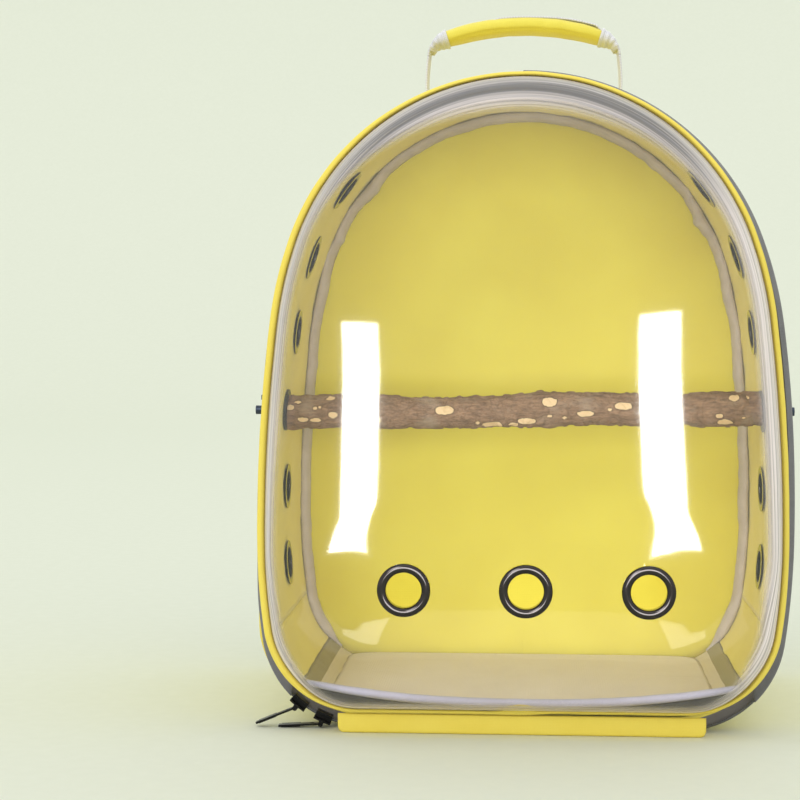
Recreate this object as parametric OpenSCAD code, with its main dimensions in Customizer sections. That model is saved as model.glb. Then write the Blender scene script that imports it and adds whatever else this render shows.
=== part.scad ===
// Bird travel carrier: an arched fabric case with a clear domed door, a bolted branch perch,
// a top handle and two shoulder straps on its back.
// Millimetres. X runs to the viewer's right, Y to the back, Z up from the ground.
// The origin is the centre of the flat underside.

/* [Body] */
// Width of the body across its widest place
body_w = 336; // [316:1:356]
// Height of the body from the ground to the top of its crown
body_h = 413; // [390:1:440]
// Depth of the side band from front edge to back edge
band_d = 190; // [160:1:220]
// Thickness of the padded fabric walls
wall_t = 5; // [4:0.5:6]
// Height at which the body is widest
widest_z = 122; // [110:1:135]
// How much less the crown's radius is than half the width
crown_step = 12; // [10:1:15]
// Radius of the lower corners
base_corner_r = 66; // [58:1:72]
// Thickness of the edge piping
piping_d = 4.4; // [3.6:0.2:5]
// Width of the tape over an inner seam
seam_tape_w = 11; // [8:1:14]
// Thickness of that tape
seam_tape_t = 1; // [0.8:0.1:1.4]

/* [Door] */
// How far the door ring's outline lies inside the body's outline
ring_inset = 3; // [2:0.5:5]
// Height of the door's hinge line, where the ring's lower edge lies
hinge_h = 13.3; // [12:0.1:16]
// Width of the ring's binding, seen from the front
ring_w = 5.5; // [5:0.5:8]
// Depth of the ring's binding
ring_d = 8; // [7:0.5:10]
// Depth of the zip between the body's front edge and the ring
zip_d = 24; // [22:1:30]
// Radius of the ring's lower corners
ring_corner_r = 60; // [52:1:62]
// Thickness of the clear window
window_t = 1.4; // [1:0.1:2]
// How far the window's wall rises from the ring
dome_rise = 33; // [26:1:40]
// How much further the middle of the window stands out
dome_crown = 4; // [2:0.5:6]
// Width of the window's rounded edge at the sides and top
dome_edge = 23; // [18:1:28]
// Width of the window's rounded edge along the bottom
dome_toe = 52; // [40:1:58]

/* [Zip] */
// Thickness of the zip's tape
zip_tape_t = 0.9; // [0.7:0.1:1.1]
// Diameter of one half of the zip's coil
coil_d = 1.8; // [1.6:0.1:2]
// Gap between the two halves of the coil
coil_gap = 0.8; // [0.7:0.1:1]
// How far the body's half of the coil lies in front of the piping
coil_set = 7.2; // [6.8:0.1:8]
// Length of a slider along the zip
slider_l = 11; // [9:0.5:13]
// Width of a slider across the zip
slider_w = 7.2; // [6.8:0.2:8]
// Thickness of a slider's plates
slider_plate_t = 1.2; // [1:0.1:1.5]
// Length of a pull tab
pull_l = 27; // [22:1:30]
// Width of a pull tab
pull_w = 6; // [5:0.5:6.5]
// Thickness of a pull tab
pull_t = 1.6; // [1.4:0.1:1.8]
// Place of the upper slider, as the angle round the corner from the top
slider_a = 140.5; // [136:0.5:142]
// Angle between the two sliders round the corner
slider_step = 16; // [14:0.5:18]

/* [Eyelets] */
// Outer diameter of an eyelet's flange
eyelet_od = 32.5; // [29:0.5:35]
// Bore of an eyelet
eyelet_id = 21.6; // [18:0.2:24]
// Height of an eyelet's rolled flange
eyelet_h = 2.4; // [2:0.1:3]
// Wall of an eyelet's barrel
eyelet_wall = 0.7; // [0.5:0.1:1]
// Thickness of the washer behind an eyelet
eyelet_washer_t = 0.8; // [0.6:0.1:1.2]
// Distance between the window's eyelets
window_pitch = 73.7; // [60:0.1:80]
// How far right of the centre the window's row of eyelets sits
window_shift = 3; // [0:0.5:5]
// Height of the window's eyelets
window_eyelet_z = 95.5; // [90:0.5:110]
// Way along the outline from the crown to the first side eyelet
side_first = 145; // [135:1:155]
// Distance along the outline between side eyelets and the perch
side_pitch = 53.5; // [48:0.5:55]

/* [Perch] */
// Mean diameter of the branch
perch_d = 22; // [16:1:26]
// How far in front of the body's middle the perch runs
perch_y = 20; // [0:1:40]
// Diameter of the stud in the branch's end
stud_d = 6; // [5:0.5:8]
// Diameter of the perch's washers
perch_washer_d = 28; // [24:1:32]
// Thickness of the perch's washers
perch_washer_t = 1.5; // [1:0.1:2]
// Depth of a stud in the branch
stud_grip = 25; // [18:1:35]
// Span of a wing nut over its wings
wing_span = 22; // [18:1:26]
// Diameter of a wing nut's hub
nut_hub_d = 10; // [9.5:0.5:12]
// Height of a wing nut's hub
nut_hub_h = 5; // [4:0.5:7]

/* [Floor mat] */
// Thickness of the mat
mat_t = 9; // [6:0.5:11]
// How much the mat swells at its middle
mat_crown = 1.5; // [0.5:0.5:3]
// Height of the middle of the front lip in front of the mat
lip_h = 16.5; // [15:0.5:20]
// How much higher the lip's ends reach
lip_rise = 9.5; // [4:0.5:11]

/* [Handle] */
// Distance between the handle's legs
handle_w = 128; // [116:1:140]
// Height of the handle's top above the body's crown
handle_rise = 49; // [42:1:56]
// Radius of the handle's arch
handle_arch_r = 171; // [150:1:200]
// Radius of the bend between arch and leg
handle_bend_r = 12; // [9:1:16]
// Width of the webbing
webbing_w = 25; // [20:1:30]
// Thickness of the webbing
webbing_t = 1.8; // [1.4:0.1:2.2]
// Length of the padded grip along its arch
grip_l = 97; // [85:1:102]
// Thickness of the padded grip
grip_t = 11; // [9:0.5:13]
// Width of the padded grip
grip_w = 32; // [30:1:38]

/* [Back and straps] */
// Thickness of the pad against the wearer's back
back_pad_t = 12; // [8:1:16]
// How far the back pad's edge lies inside the body's outline
back_pad_inset = 26; // [20:1:34]
// Height of the back pad's lower edge
back_pad_low = 62; // [58:1:68]
// Width of a shoulder strap's pad
strap_w = 58; // [48:1:66]
// Thickness of a shoulder strap's pad
strap_t = 10; // [8:1:12]
// How far below the body's crown the straps' sewn ends lie
strap_top_drop = 61; // [51:1:73]
// Height of the pad's lower end
strap_low_z = 150; // [130:1:170]
// Distance of the strap's top end from the middle
strap_top_x = 42; // [38:1:50]
// Distance of the strap's lower end from the middle
strap_low_x = 84; // [74:1:90]
// How far the strap stands off the back pad at its fullest
strap_bow = 20; // [14:1:26]
// Height of the webbing's lower anchor
anchor_z = 40; // [34:1:50]
// How far the anchors lie inside the body's widest place
anchor_inset = 58; // [50:1:64]
// Height of the yoke over the straps' tops
yoke_h = 16; // [12:1:20]

/* [Hidden] */
$fn = 48;
half_w = body_w / 2;
front_y = -band_d / 2;
back_y = band_d / 2;
clear = 0.3;
touch = 0.1;

// Normal angles, from the top, at which one arc of the outline hands over to the next
crown_a = 70;
shoulder_a = 83;
foot_a = 98;

function dir(a) = [sin(a), cos(a)];
function mix(a, b, t) = a + (b - a) * t;
function ease(t) = let (c = min(max(t, 0), 1)) c * c * (3 - 2 * c);

// Five tangent arcs down one side: [centre, radius, first normal angle, last normal angle]
function outline(hw, top, bottom, corner) = let (
    crown = hw - crown_step,
    across = hw - crown * sin(crown_a),
    down = top - widest_z - crown * (1 - cos(crown_a)),
    p = sin(shoulder_a) - sin(crown_a),
    q = 1 - sin(shoulder_a),
    u = cos(crown_a) - cos(shoulder_a),
    v = cos(shoulder_a),
    det = p * v - q * u,
    shoulder = (across * v - q * down) / det,
    side = (p * down - u * across) / det,
    lower = corner + (widest_z - corner - bottom) / sin(foot_a - 90),
    c0 = [0, top - crown],
    c1 = c0 + (crown - shoulder) * dir(crown_a),
    c2 = c1 + (shoulder - side) * dir(shoulder_a),
    c3 = c2 + (side - lower) * dir(90),
    c4 = c3 + (lower - corner) * dir(foot_a)
) [
    [c0, crown, 0, crown_a],
    [c1, shoulder, crown_a, shoulder_a],
    [c2, side, shoulder_a, 90],
    [c3, lower, 90, foot_a],
    [c4, corner, foot_a, 180]
];

body_path = outline(half_w, body_h, 0, base_corner_r);
ring_path = outline(half_w - ring_inset, body_h - 1, hinge_h, ring_corner_r);
zip_drop = 1.5;
zip_path = outline(half_w - ring_inset / 6, body_h - ring_inset / 6, zip_drop, base_corner_r - 2);

// The point of an outline whose normal has angle a; a negative angle is on the left
function at(path, a, out = 0) = let (
    b = abs(a),
    arc = [for (s = path) if (b <= s[3]) s][0],
    p = arc[0] + (arc[1] + out) * dir(b)
) [sign(a) * p[0], p[1]];

// The normal angle at a length s along an outline from its crown
function angle_at(path, s, i = 0) = let (
    arc = path[i],
    l = arc[1] * (arc[3] - arc[2]) * PI / 180
) s <= l || i == len(path) - 1 ? arc[2] + s / arc[1] * 180 / PI : angle_at(path, s - l, i + 1);

// Normal angles down one side, a small turn and at most a long step apart, from first to last
turn = 6.5;
long_step = 45;
function marks(last, first = 0) = concat([
    for (s = body_path) if (s[2] < last && s[3] > first)
        let (
            from = max(s[2], first),
            end = min(s[3], last),
            n = max(ceil((end - from) / turn), ceil(s[1] * (end - from) * PI / 180 / long_step))
        )
            for (k = [0 : n - 1]) from + (end - from) * k / n
], [last]);
function arch(last) = let (m = marks(last))
    concat([for (i = [len(m) - 1 : -1 : 1]) -m[i]], m);

// Turns a profile along one arc. The profile's x is outwards and its y is forwards.
module run(arc, first, last)
    translate([arc[0][0], 0, arc[0][1]])
        rotate([90, 0, 0])
            rotate([0, 0, 90 - last])
                rotate_extrude(angle = last - first)
                    translate([arc[1], 0])
                        children();

// A solid through a row of sections, each a list of as many points. An open row is capped: with
// a hub, or with strips between the first half of a section's points and the second half.
module skin(sections, hub = false, closed = false) {
    n = len(sections);
    k = len(sections[0]);
    walls = [
        for (i = [0 : closed ? n - 1 : n - 2], j = [0 : k - 1]) let (
            a = i * k + j,
            b = i * k + (j + 1) % k,
            c = (b + k) % (n * k),
            d = (a + k) % (n * k)
        ) each [[a, c, b], [a, d, c]]
    ];
    m = n * k;
    e = (n - 1) * k;
    fans = [for (j = [0 : k - 1]) let (i = (j + 1) % k) each [[m, j, i], [m + 1, e + i, e + j]]];
    strips = [
        for (j = [0 : k / 2 - 2]) let (i = k - 1 - j) each [
            [j, j + 1, i - 1], [j, i - 1, i], [e + j, e + i - 1, e + j + 1], [e + j, e + i, e + i - 1]
        ]
    ];
    middles = [for (s = [sections[0], sections[n - 1]]) [for (x = [0 : 2]) sum([for (p = s) p[x]]) / k]];
    polyhedron(
        concat([for (s = sections) each s], hub ? middles : []),
        concat(walls, closed ? [] : hub ? fans : strips),
        convexity = 8
    );
}
function sum(v, i = 0) = i == len(v) ? 0 : v[i] + sum(v, i + 1);

// Sweeps a profile of [outwards, forwards] points along an outline's arch, or right round it
module sweep(path, profile, y, last = 180, closed = false)
    skin([
        for (a = arch(last)) [for (q = profile) let (p = at(path, a, q[0])) [p[0], y - q[1], p[1]]]
    ], closed = closed);
function round_profile(d, n, out = 0) = [for (k = [0 : n - 1]) let (a = -360 * (k + 0.5) / n)
    [out + d / 2 * cos(a), d / 2 * sin(a)]];

// A tape along an arch through rows of [path, outward offset, y]
module tape(rows, last, t)
    skin([
        for (a = arch(last)) concat(
            [for (r = rows) let (p = at(r[0], a, r[1] + t / 2)) [p[0], r[2], p[1]]],
            [for (i = [len(rows) - 1 : -1 : 0]) let (
                r = rows[i],
                p = at(r[0], a, r[1] - t / 2)
            ) [p[0], r[2], p[1]]]
        )
    ]);

// A wall of the body between two normal angles on each side, as an extruded outline
module wall(points) color("gold")
    translate([0, back_y, 0])
        rotate([90, 0, 0])
            linear_extrude(band_d)
                polygon(concat(
                    [for (a = points) at(body_path, a)],
                    [for (i = [len(points) - 1 : -1 : 0]) at(body_path, points[i], -wall_t)]
                ));

// The closed outline as points, for a flat panel
function loop_points(path, out) = [for (a = arch(180)) at(path, a, out)];

// ---- places of what the walls carry ----
perch_a = angle_at(body_path, side_first + 3 * side_pitch);
perch_z = at(body_path, perch_a)[1];
perch_out = at(body_path, perch_a)[0];
perch_tilt = 90 - perch_a;
eyelet_angles = [for (k = [0, 1, 2, 4, 5]) angle_at(body_path, side_first + k * side_pitch)];
barrel_r = eyelet_id / 2 + eyelet_wall;
hole_r = barrel_r + clear;

// Places children on the outer face of the side band at a normal angle, with +Z outwards
module on_wall(a, y = 0) {
    p = at(body_path, a);
    translate([p[0], y, p[1]])
        rotate([0, a, 0])
            children();
}

/* ---- walls ---- */
module side_band() color("gold") difference() {
    wall(arch(foot_a));
    for (a = eyelet_angles, s = [-1, 1])
        on_wall(s * a)
            translate([0, 0, -2 * wall_t])
                cylinder(h = 3 * wall_t, r = hole_r);
    translate([0, -perch_y, perch_z])
        rotate([0, 90, 0])
            cylinder(h = 2 * body_w, d = stud_d + 2 * clear, center = true);
}

module base_panel()
    wall(let (m = marks(180, foot_a)) concat(m, [for (i = [len(m) - 1 : -1 : 0]) -m[i]]));

module back_panel() color("goldenrod")
    translate([0, back_y, 0])
        rotate([90, 0, 0])
            linear_extrude(wall_t)
                polygon(loop_points(body_path, -wall_t - touch));

module piping(y) sweep(body_path, round_profile(piping_d, 8, -piping_d / 2), y, closed = true);

module front_piping() color("khaki") piping(front_y - piping_d / 2 - touch);
module rear_piping() color("khaki") piping(back_y + piping_d / 2 + touch);

// Folded tape over the seam between the band and the back panel. It ends above the mat.
module back_seam_tape() color("rosybrown")
    sweep(body_path, [for (q = [
        [0, seam_tape_w], [-seam_tape_t, seam_tape_w], [-seam_tape_w * 0.6, seam_tape_w * 0.6],
        [-seam_tape_w, seam_tape_t], [-seam_tape_w, 0], [0, 0]
    ]) [q[0] - wall_t - touch, q[1]]], back_y - wall_t - touch, seam_last);

/* ---- floor ---- */
mat_z = wall_t + touch;
mat_back = back_y - wall_t - seam_tape_t - clear;
mat_front = front_y + seam_tape_w;
// Half the width inside the lower corners at a height, less a gap
function floor_half(z, gap) = body_path[4][0][0]
    + sqrt(max(0, pow(base_corner_r - wall_t - gap, 2) - pow(base_corner_r - z, 2)));
mat_rim = 0.8;
seam_last = 180 - acos((base_corner_r - mat_z - mat_t - mat_crown - 1) / (base_corner_r - wall_t));

// A rounded rectangle's points, for the rings of a pad
function round_rect(hx, hy, r, n) = [
    for (q = [0 : 3], k = [0 : n]) let (
        a = 90 * q + 90 * k / n,
        sx = q == 0 || q == 3 ? 1 : -1,
        sy = q < 2 ? 1 : -1
    ) [sx * (hx - r) + r * cos(a), sy * (hy - r) + r * sin(a)]
];

// The mat's rings run from the middle of its top over its rim to the middle of its underside.
// Each is a share of the mat's plan and a height, and fills the floor's width at that height.
module floor_mat() color("tan") {
    depth = (mat_back - mat_front) / 2;
    rings = [
        [0.1, mat_t + mat_crown], [0.45, mat_t + mat_crown * 0.9], [0.8, mat_t + mat_crown * 0.5], [0.96, mat_t],
        [1, mat_t * mat_rim], [1, mat_t * 0.5], [1, mat_t * 0.2], [1, 0], [0.1, 0]
    ];
    translate([0, (mat_back + mat_front) / 2, mat_z])
        skin([
            for (r = rings) let (half = floor_half(mat_z + min(r[1], mat_t * mat_rim), 2 * clear)) [
                for (p = round_rect(half * r[0], depth * r[0], 10 * r[0], 5)) [p[0], p[1], r[1]]
            ]
        ], hub = true);
}

// The lip in front of the mat that carries the bound front edge of the floor
module front_lip() color("silver") {
    t = seam_tape_w - 4;
    shoulder = lip_h + lip_rise - 2;
    flank = [for (k = [0 : 8]) let (z = mix(wall_t + touch, shoulder, k / 8)) [floor_half(z, clear), z]];
    top = flank[8][0];
    translate([0, front_y + 1 + t, 0])
        rotate([90, 0, 0])
            linear_extrude(t)
                polygon(concat(
                    flank,
                    [for (k = [0 : 16]) let (x = mix(top - 2, 2 - top, k / 16)) [x, lip_h + lip_rise * pow(abs(x) / top, 2.4)]],
                    [for (k = [8 : -1 : 0]) [-flank[k][0], flank[k][1]]]
                ));
}

/* ---- zip ---- */
tape_in = -piping_d - touch - zip_tape_t / 2;
coil_body_y = front_y - piping_d - coil_set;
coil_door_y = coil_body_y - coil_d - coil_gap;
zip_mid_y = (coil_body_y + coil_door_y) / 2;
ring_back = front_y - zip_d;
zip_last = 172;
slider_half_a = slider_l / 2 / zip_path[4][1] * 180 / PI;
// The door's half of the zip ends above the parked sliders, which leaves the door free to open
door_zip_last = slider_a - slider_half_a - 1.2;

module zip_tape_body() color("gray")
    tape([
        [body_path, tape_in, front_y - touch],
        [body_path, tape_in, front_y - piping_d + 0.4],
        [zip_path, 0, coil_body_y + coil_d / 2 + touch]
    ], zip_last, zip_tape_t);

module coil(y, last) sweep(zip_path, round_profile(coil_d, 6), y, last);

module zip_coil_body() color("dimgray") coil(coil_body_y, zip_last);
module zip_coil_door() color("dimgray") coil(coil_door_y, door_zip_last);

tape_seat = -1.9;
tape_depth = 2.3;
module zip_tape_door() color("gray")
    tape([
        [zip_path, 0, coil_door_y - coil_d / 2 - touch],
        [zip_path, 0, zip_mid_y - slider_w / 2 - clear],
        [ring_path, tape_seat, ring_back + 0.4],
        [ring_path, tape_seat, ring_back - tape_depth]
    ], door_zip_last, zip_tape_t);

/* ---- door ---- */
flange_y = ring_back - 3;
flange_tip = -1.7;
edge_cut = 1.2;
tape_slot = zip_tape_t / 2 + clear;
ring_profile = [
    [-ring_w, 0], [-ring_w, 3 - touch], [flange_tip + touch, 3 - touch],
    [flange_tip + touch, 3 + window_t + touch], [-ring_w, 3 + window_t + touch],
    [-ring_w, ring_d - edge_cut], [edge_cut - ring_w, ring_d], [-edge_cut, ring_d], [0, ring_d - edge_cut],
    [0, 0], [tape_seat + tape_slot, 0], [tape_seat + tape_slot, tape_depth + clear],
    [tape_seat - tape_slot, tape_depth + clear], [tape_seat - tape_slot, 0]
];
module door_ring() color("khaki") sweep(ring_path, ring_profile, ring_back, closed = true);

dome_root = -ring_w - 0.7;
dome_mid = [0, 190];
toe_top = hinge_h + 102;
toe_blend = 75;

// The window's rim as points, with the straight foot divided too
function rim(out) = let (
    m = arch(180),
    foot_n = 6,
    half = ring_path[4][0][0],
    z = at(ring_path, 180, out)[1]
) concat(
    [for (a = m) at(ring_path, a, out)],
    [for (k = [1 : foot_n - 1]) [mix(half, -half, k / foot_n), z]]
);

// One ring of the window's surface: w is the way over the rounded edge, f the way over the face
function dome_ring(out, rise, w, f) = [
    for (p = rim(out)) let (
        low = ease((toe_top - p[1]) / toe_blend),
        edge = mix(dome_edge, dome_toe, low) + out - dome_root,
        len = norm(p - dome_mid),
        u = (1 - cos(90 * w)) * edge / len,
        g = mix(u, 0.97, f),
        q = p + (dome_mid - p) * g,
        y = rise * sin(90 * w) + dome_crown * (1 - pow(1 - f, 2))
    ) [q[0], flange_y - window_t - y, q[1]]
];

edge_steps = 6;
face_steps = [0.12, 0.3, 0.6, 1];
module dome_window() color("aliceblue", 0.35) difference() {
    skin(concat(
        [for (i = [len(face_steps) - 1 : -1 : 0]) dome_ring(dome_root, dome_rise, 1, face_steps[i])],
        [for (i = [edge_steps : -1 : 0]) dome_ring(dome_root, dome_rise, i / edge_steps, 0)],
        [for (y = [flange_y - window_t, flange_y]) [for (p = rim(flange_tip)) [p[0], y, p[1]]]],
        [[for (p = rim(dome_root - window_t)) [p[0], flange_y, p[1]]]],
        [for (i = [0 : edge_steps]) dome_ring(dome_root - window_t, dome_rise - window_t, i / edge_steps, 0)],
        [for (f = face_steps) dome_ring(dome_root - window_t, dome_rise - window_t, 1, f)]
    ), hub = true);
    for (x = window_xs)
        translate([x, 0, window_eyelet_z])
            rotate([90, 0, 0])
                cylinder(h = -2 * flange_y, r = hole_r);
}

/* ---- eyelets: a rolled flange with a barrel, and a washer at the barrel's far end ---- */
window_xs = [for (k = [-1 : 1]) window_shift + k * window_pitch];
module eyelet(grip) {
    ro = eyelet_od / 2;
    ri = eyelet_id / 2;
    rm = (ro + ri) / 2;
    rotate_extrude($fn = 64)
        polygon([
            [ri, -grip], [barrel_r, -grip], [barrel_r, 0], [ro - 0.4, 0], [ro, 0.5],
            for (k = [1 : 5]) let (a = 180 * k / 6) [rm + (ro - rm) * cos(a), 0.5 + (eyelet_h - 0.5) * sin(a)],
            [ri, 0.5]
        ]);
}
module eyelet_washer()
    rotate_extrude($fn = 64)
        translate([barrel_r + touch, 0])
            square([eyelet_od / 2 - barrel_r - 1, eyelet_washer_t]);

// The band is curved, so the flat washer inside touches it at its rim and not at its middle
washer_seat = 2 * touch + pow(eyelet_od / 2, 2) / 2 / (body_path[0][1] - wall_t);
module side_eyelets(s) color("dimgray")
    for (a = eyelet_angles)
        on_wall(s * a)
            translate([0, 0, touch])
                eyelet(wall_t + touch + washer_seat + eyelet_washer_t);
module side_washers(s) color("dimgray")
    for (a = eyelet_angles)
        on_wall(s * a)
            translate([0, 0, -wall_t - washer_seat - eyelet_washer_t])
                eyelet_washer();

module eyelets_left() side_eyelets(-1);
module eyelets_right() side_eyelets(1);
module eyelet_washers_left() side_washers(-1);
module eyelet_washers_right() side_washers(1);

// The window is crowned, so an eyelet's flange touches it at the edge that is nearest the crown
window_face = flange_y - window_t - dome_rise;
rim_reach = dome_mid[1] - hinge_h + dome_root;
crown_way = (rim_reach - dome_mid[1] + window_eyelet_z + eyelet_od / 2 - dome_toe) / (0.97 * rim_reach - dome_toe);
window_seat = window_face - dome_crown * (1 - pow(1 - crown_way, 2)) - touch;
washer_y = window_face + window_t + touch;
module window_eyelets() color("dimgray")
    for (x = window_xs)
        translate([x, window_seat, window_eyelet_z])
            rotate([90, 0, 0])
                eyelet(washer_y + eyelet_washer_t - window_seat);
module window_eyelet_washers() color("dimgray")
    for (x = window_xs)
        translate([x, washer_y + eyelet_washer_t, window_eyelet_z])
            rotate([90, 0, 0])
                eyelet_washer();

/* ---- perch ---- */
inner_seat = 4 * touch;
perch_half = perch_out - (wall_t + inner_seat + perch_washer_t + touch) / sin(perch_a);
perch_rings = 30;
perch_sides = 16;
function perch_wave(u) = 1 + 0.06 * sin(u * 430 + 40) + 0.04 * sin(u * 1010);
module perch() color("saddlebrown") difference() {
    translate([0, -perch_y, perch_z])
        skin([
            for (i = [0 : perch_rings]) let (
                u = 2 * i / perch_rings - 1,
                r = perch_d / 2 * perch_wave(u),
                sag = 1.2 * (1 - u * u) * sin(u * 300 + 30),
                bend = 1.5 * (1 - u * u) * sin(u * 220)
            ) [
                for (j = [0 : perch_sides - 1]) let (
                    a = 360 * j / perch_sides,
                    rr = r * (1 + 0.035 * sin(3 * a + 260 * u)),
                    z = sag + rr * sin(a)
                ) [u * (perch_half - rr * sin(a) * tan(perch_tilt)), bend + rr * cos(a), z]
            ]
        ]);
    for (s = [-1, 1])
        translate([s * perch_half, -perch_y, perch_z])
            rotate([0, s * 90, 0])
                translate([0, 0, -stud_grip])
                    cylinder(h = stud_grip + 5, d = stud_d + 0.1);
}

stud_l = stud_grip + perch_out - perch_half + 15;
module stud(s) color("darkslategray")
    translate([s * (perch_half - stud_grip), -perch_y, perch_z])
        rotate([0, s * 90, 0])
            cylinder(h = stud_l, d = stud_d);
module perch_stud_left() stud(-1);
module perch_stud_right() stud(1);

module perch_washer()
    difference() {
        cylinder(h = perch_washer_t, d = perch_washer_d);
        translate([0, 0, -1])
            cylinder(h = perch_washer_t + 2, d = stud_d + 2 * clear);
    }
module washers(depth) color("slategray")
    for (s = [-1, 1])
        on_wall(s * perch_a, -perch_y)
            translate([s * (depth + perch_washer_t / 2) * tan(perch_tilt), 0, depth])
                perch_washer();
module perch_washers_inner() washers(-wall_t - inner_seat - perch_washer_t);
module perch_washers_outer() washers(touch);

nut_x = perch_out + (2 * touch + perch_washer_t) / sin(perch_a) + nut_hub_d / 2 * tan(perch_tilt) + clear;
module wing_nut(s) color("darkslategray")
    translate([s * nut_x, -perch_y, perch_z])
        rotate([0, s * 90, 0])
            difference() {
                union() {
                    cylinder(h = nut_hub_h, d1 = nut_hub_d, d2 = nut_hub_d - 1.5);
                    for (k = [0, 180])
                        rotate([0, 0, k])
                            translate([0, 1, 0])
                                rotate([90, 0, 0])
                                    linear_extrude(2)
                                        polygon([
                                            [3.4, 1], [wing_span / 2 - 2, nut_hub_h - 1],
                                            [wing_span / 2, nut_hub_h + 1.5], [wing_span / 2 - 1, nut_hub_h + 4],
                                            [wing_span / 2 - 4, nut_hub_h + 4], [3.4, nut_hub_h - 0.5]
                                        ]);
                }
                translate([0, 0, -1])
                    cylinder(h = 20, d = stud_d + 0.12);
            }
module wing_nut_left() wing_nut(-1);
module wing_nut_right() wing_nut(1);

/* ---- sliders and pulls, on the left lower corner ---- */
slider_r = zip_path[4][1];
slider_c = zip_path[4][0];
plate_in = coil_d / 2 + 0.9;
bail_r = slider_r + plate_in + slider_plate_t + 1.6;

module slider(a) color("black") {
    mirror([1, 0, 0]) {
        translate([0, zip_mid_y, 0])
            run(zip_path[4], a - slider_half_a, a + slider_half_a) {
                translate([plate_in, -slider_w / 2])
                    square([slider_plate_t, slider_w]);
                translate([-plate_in - slider_plate_t, -slider_w / 2])
                    square([slider_plate_t, slider_w]);
                translate([-plate_in - slider_plate_t / 2, -coil_gap / 2 + 0.15])
                    square([2 * plate_in + slider_plate_t, coil_gap - 0.3]);
            }
        // the bail's two cheeks, drilled for the pull's cross pin
        translate([slider_c[0], zip_mid_y, slider_c[1]])
            rotate([0, a - 90, 0])
                for (e = [-1, 1])
                    translate([bail_r, e * (slider_w / 2 - 0.6), 0])
                        rotate([90, 0, 0])
                            difference() {
                                union() {
                                    cylinder(h = 1.2, r = 1.6, center = true);
                                    translate([-1.9, 0, 0])
                                        cube([2.2, 3.2, 1.2], center = true);
                                }
                                cylinder(h = 3, r = 0.65, center = true);
                            }
    }
}
module slider_upper() slider(slider_a);
module slider_lower() slider(slider_a + slider_step);

function bail(a) = [-(slider_c[0] + bail_r * sin(a)), slider_c[1] + bail_r * cos(a)];

// A pull tab from its pin to a tip that lies low beside the corner
module pull(a, droop) color("black") {
    p = bail(a);
    translate([p[0], zip_mid_y, p[1]])
        rotate([0, -droop, 0]) {
            rotate([90, 0, 0])
                cylinder(h = slider_w - 0.2, r = 0.6, center = true);
            rotate([90, 0, 0])
                cylinder(h = slider_w - 2.6, r = 0.9, center = true);
            difference() {
                translate([-pull_l / 2, 0, 0])
                    cube([pull_l, slider_w - 2.6, pull_t * 0.8], center = true);
                translate([-5.5, 0, 0])
                    cylinder(h = 10, r = 1.1, center = true);
            }
            translate([-pull_l + pull_w / 2 + 5, 0, 0])
                cube([12, pull_w, pull_t], center = true);
        }
}
pull_droop_upper = asin((bail(slider_a)[1] - pull_t / 2 - 1.6) / pull_l);
pull_droop_lower = asin((bail(slider_a + slider_step)[1] - pull_t / 2 - 0.1) / pull_l);
module pull_upper() pull(slider_a, pull_droop_upper);
module pull_lower() pull(slider_a + slider_step, pull_droop_lower);

/* ---- hinge strip: the fabric fold that carries the door ---- */
strip_t = 1.5;
strip_y = ring_back - 3.4;
strip_half = zip_path[4][0][0] + 15;
module hinge_strip() color("gold") {
    translate([0, strip_y + strip_t, 0])
        rotate([90, 0, 0])
            linear_extrude(strip_t)
                polygon([
                    [-strip_half + 4, 0], [strip_half - 4, 0], [strip_half, 4],
                    [strip_half, hinge_h - 0.6], [-strip_half, hinge_h - 0.6], [-strip_half, 4]
                ]);
    translate([-body_path[4][0][0], strip_y + strip_t - 0.01, 0])
        cube([2 * body_path[4][0][0], front_y - strip_y - strip_t - piping_d - 2 * touch, strip_t]);
}

/* ---- handle ---- */
handle_top = body_h + handle_rise;
handle_r = handle_arch_r;
handle_c = [0, handle_top - grip_t / 2 - handle_r];
handle_a = asin((handle_w / 2 - handle_bend_r) / (handle_r - handle_bend_r));
bend_c = handle_c + (handle_r - handle_bend_r) * dir(handle_a);
grip_a = grip_l / 2 / handle_r * 180 / PI;

// A padded sleeve: a flat oval with the webbing's slot left open in it
module grip_profile() difference() {
    union() {
        square([grip_t, grip_w - grip_t], center = true);
        for (s = [-1, 1])
            translate([0, s * (grip_w - grip_t) / 2])
                circle(d = grip_t);
    }
    square([webbing_t + 2 * touch, webbing_w + 2 * touch], center = true);
}
module handle_grip() color("goldenrod")
    run([handle_c, handle_r], -grip_a, grip_a) grip_profile();

// The webbing's side view: the arch over the grip and the bends at its ends
function handle_line(out) = let (half = concat(
    [for (k = [0 : 5]) handle_c + (handle_r + out) * dir(handle_a * k / 5)],
    [for (k = [1 : 6]) bend_c + (handle_bend_r + out) * dir(mix(handle_a, 90, k / 6))]
)) concat([for (k = [len(half) - 1 : -1 : 1]) [-half[k][0], half[k][1]]], half);
module handle_webbing() color("silver")
    translate([0, webbing_w / 2, 0])
        rotate([90, 0, 0])
            linear_extrude(webbing_w)
                polygon(concat(
                    handle_line(webbing_t / 2),
                    let (low = handle_line(-webbing_t / 2)) [for (k = [len(low) - 1 : -1 : 0]) low[k]]
                ));
module handle_leg(s) color("silver") {
    x = handle_w / 2;
    low = body_path[0][0][1] + sqrt(pow(body_path[0][1], 2) - pow(x - webbing_t / 2, 2)) + touch;
    translate([s * x - webbing_t / 2, -webbing_w / 2, low])
        cube([webbing_t, webbing_w, bend_c[1] - touch - low]);
}
module handle_leg_left() handle_leg(-1);
module handle_leg_right() handle_leg(1);

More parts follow.
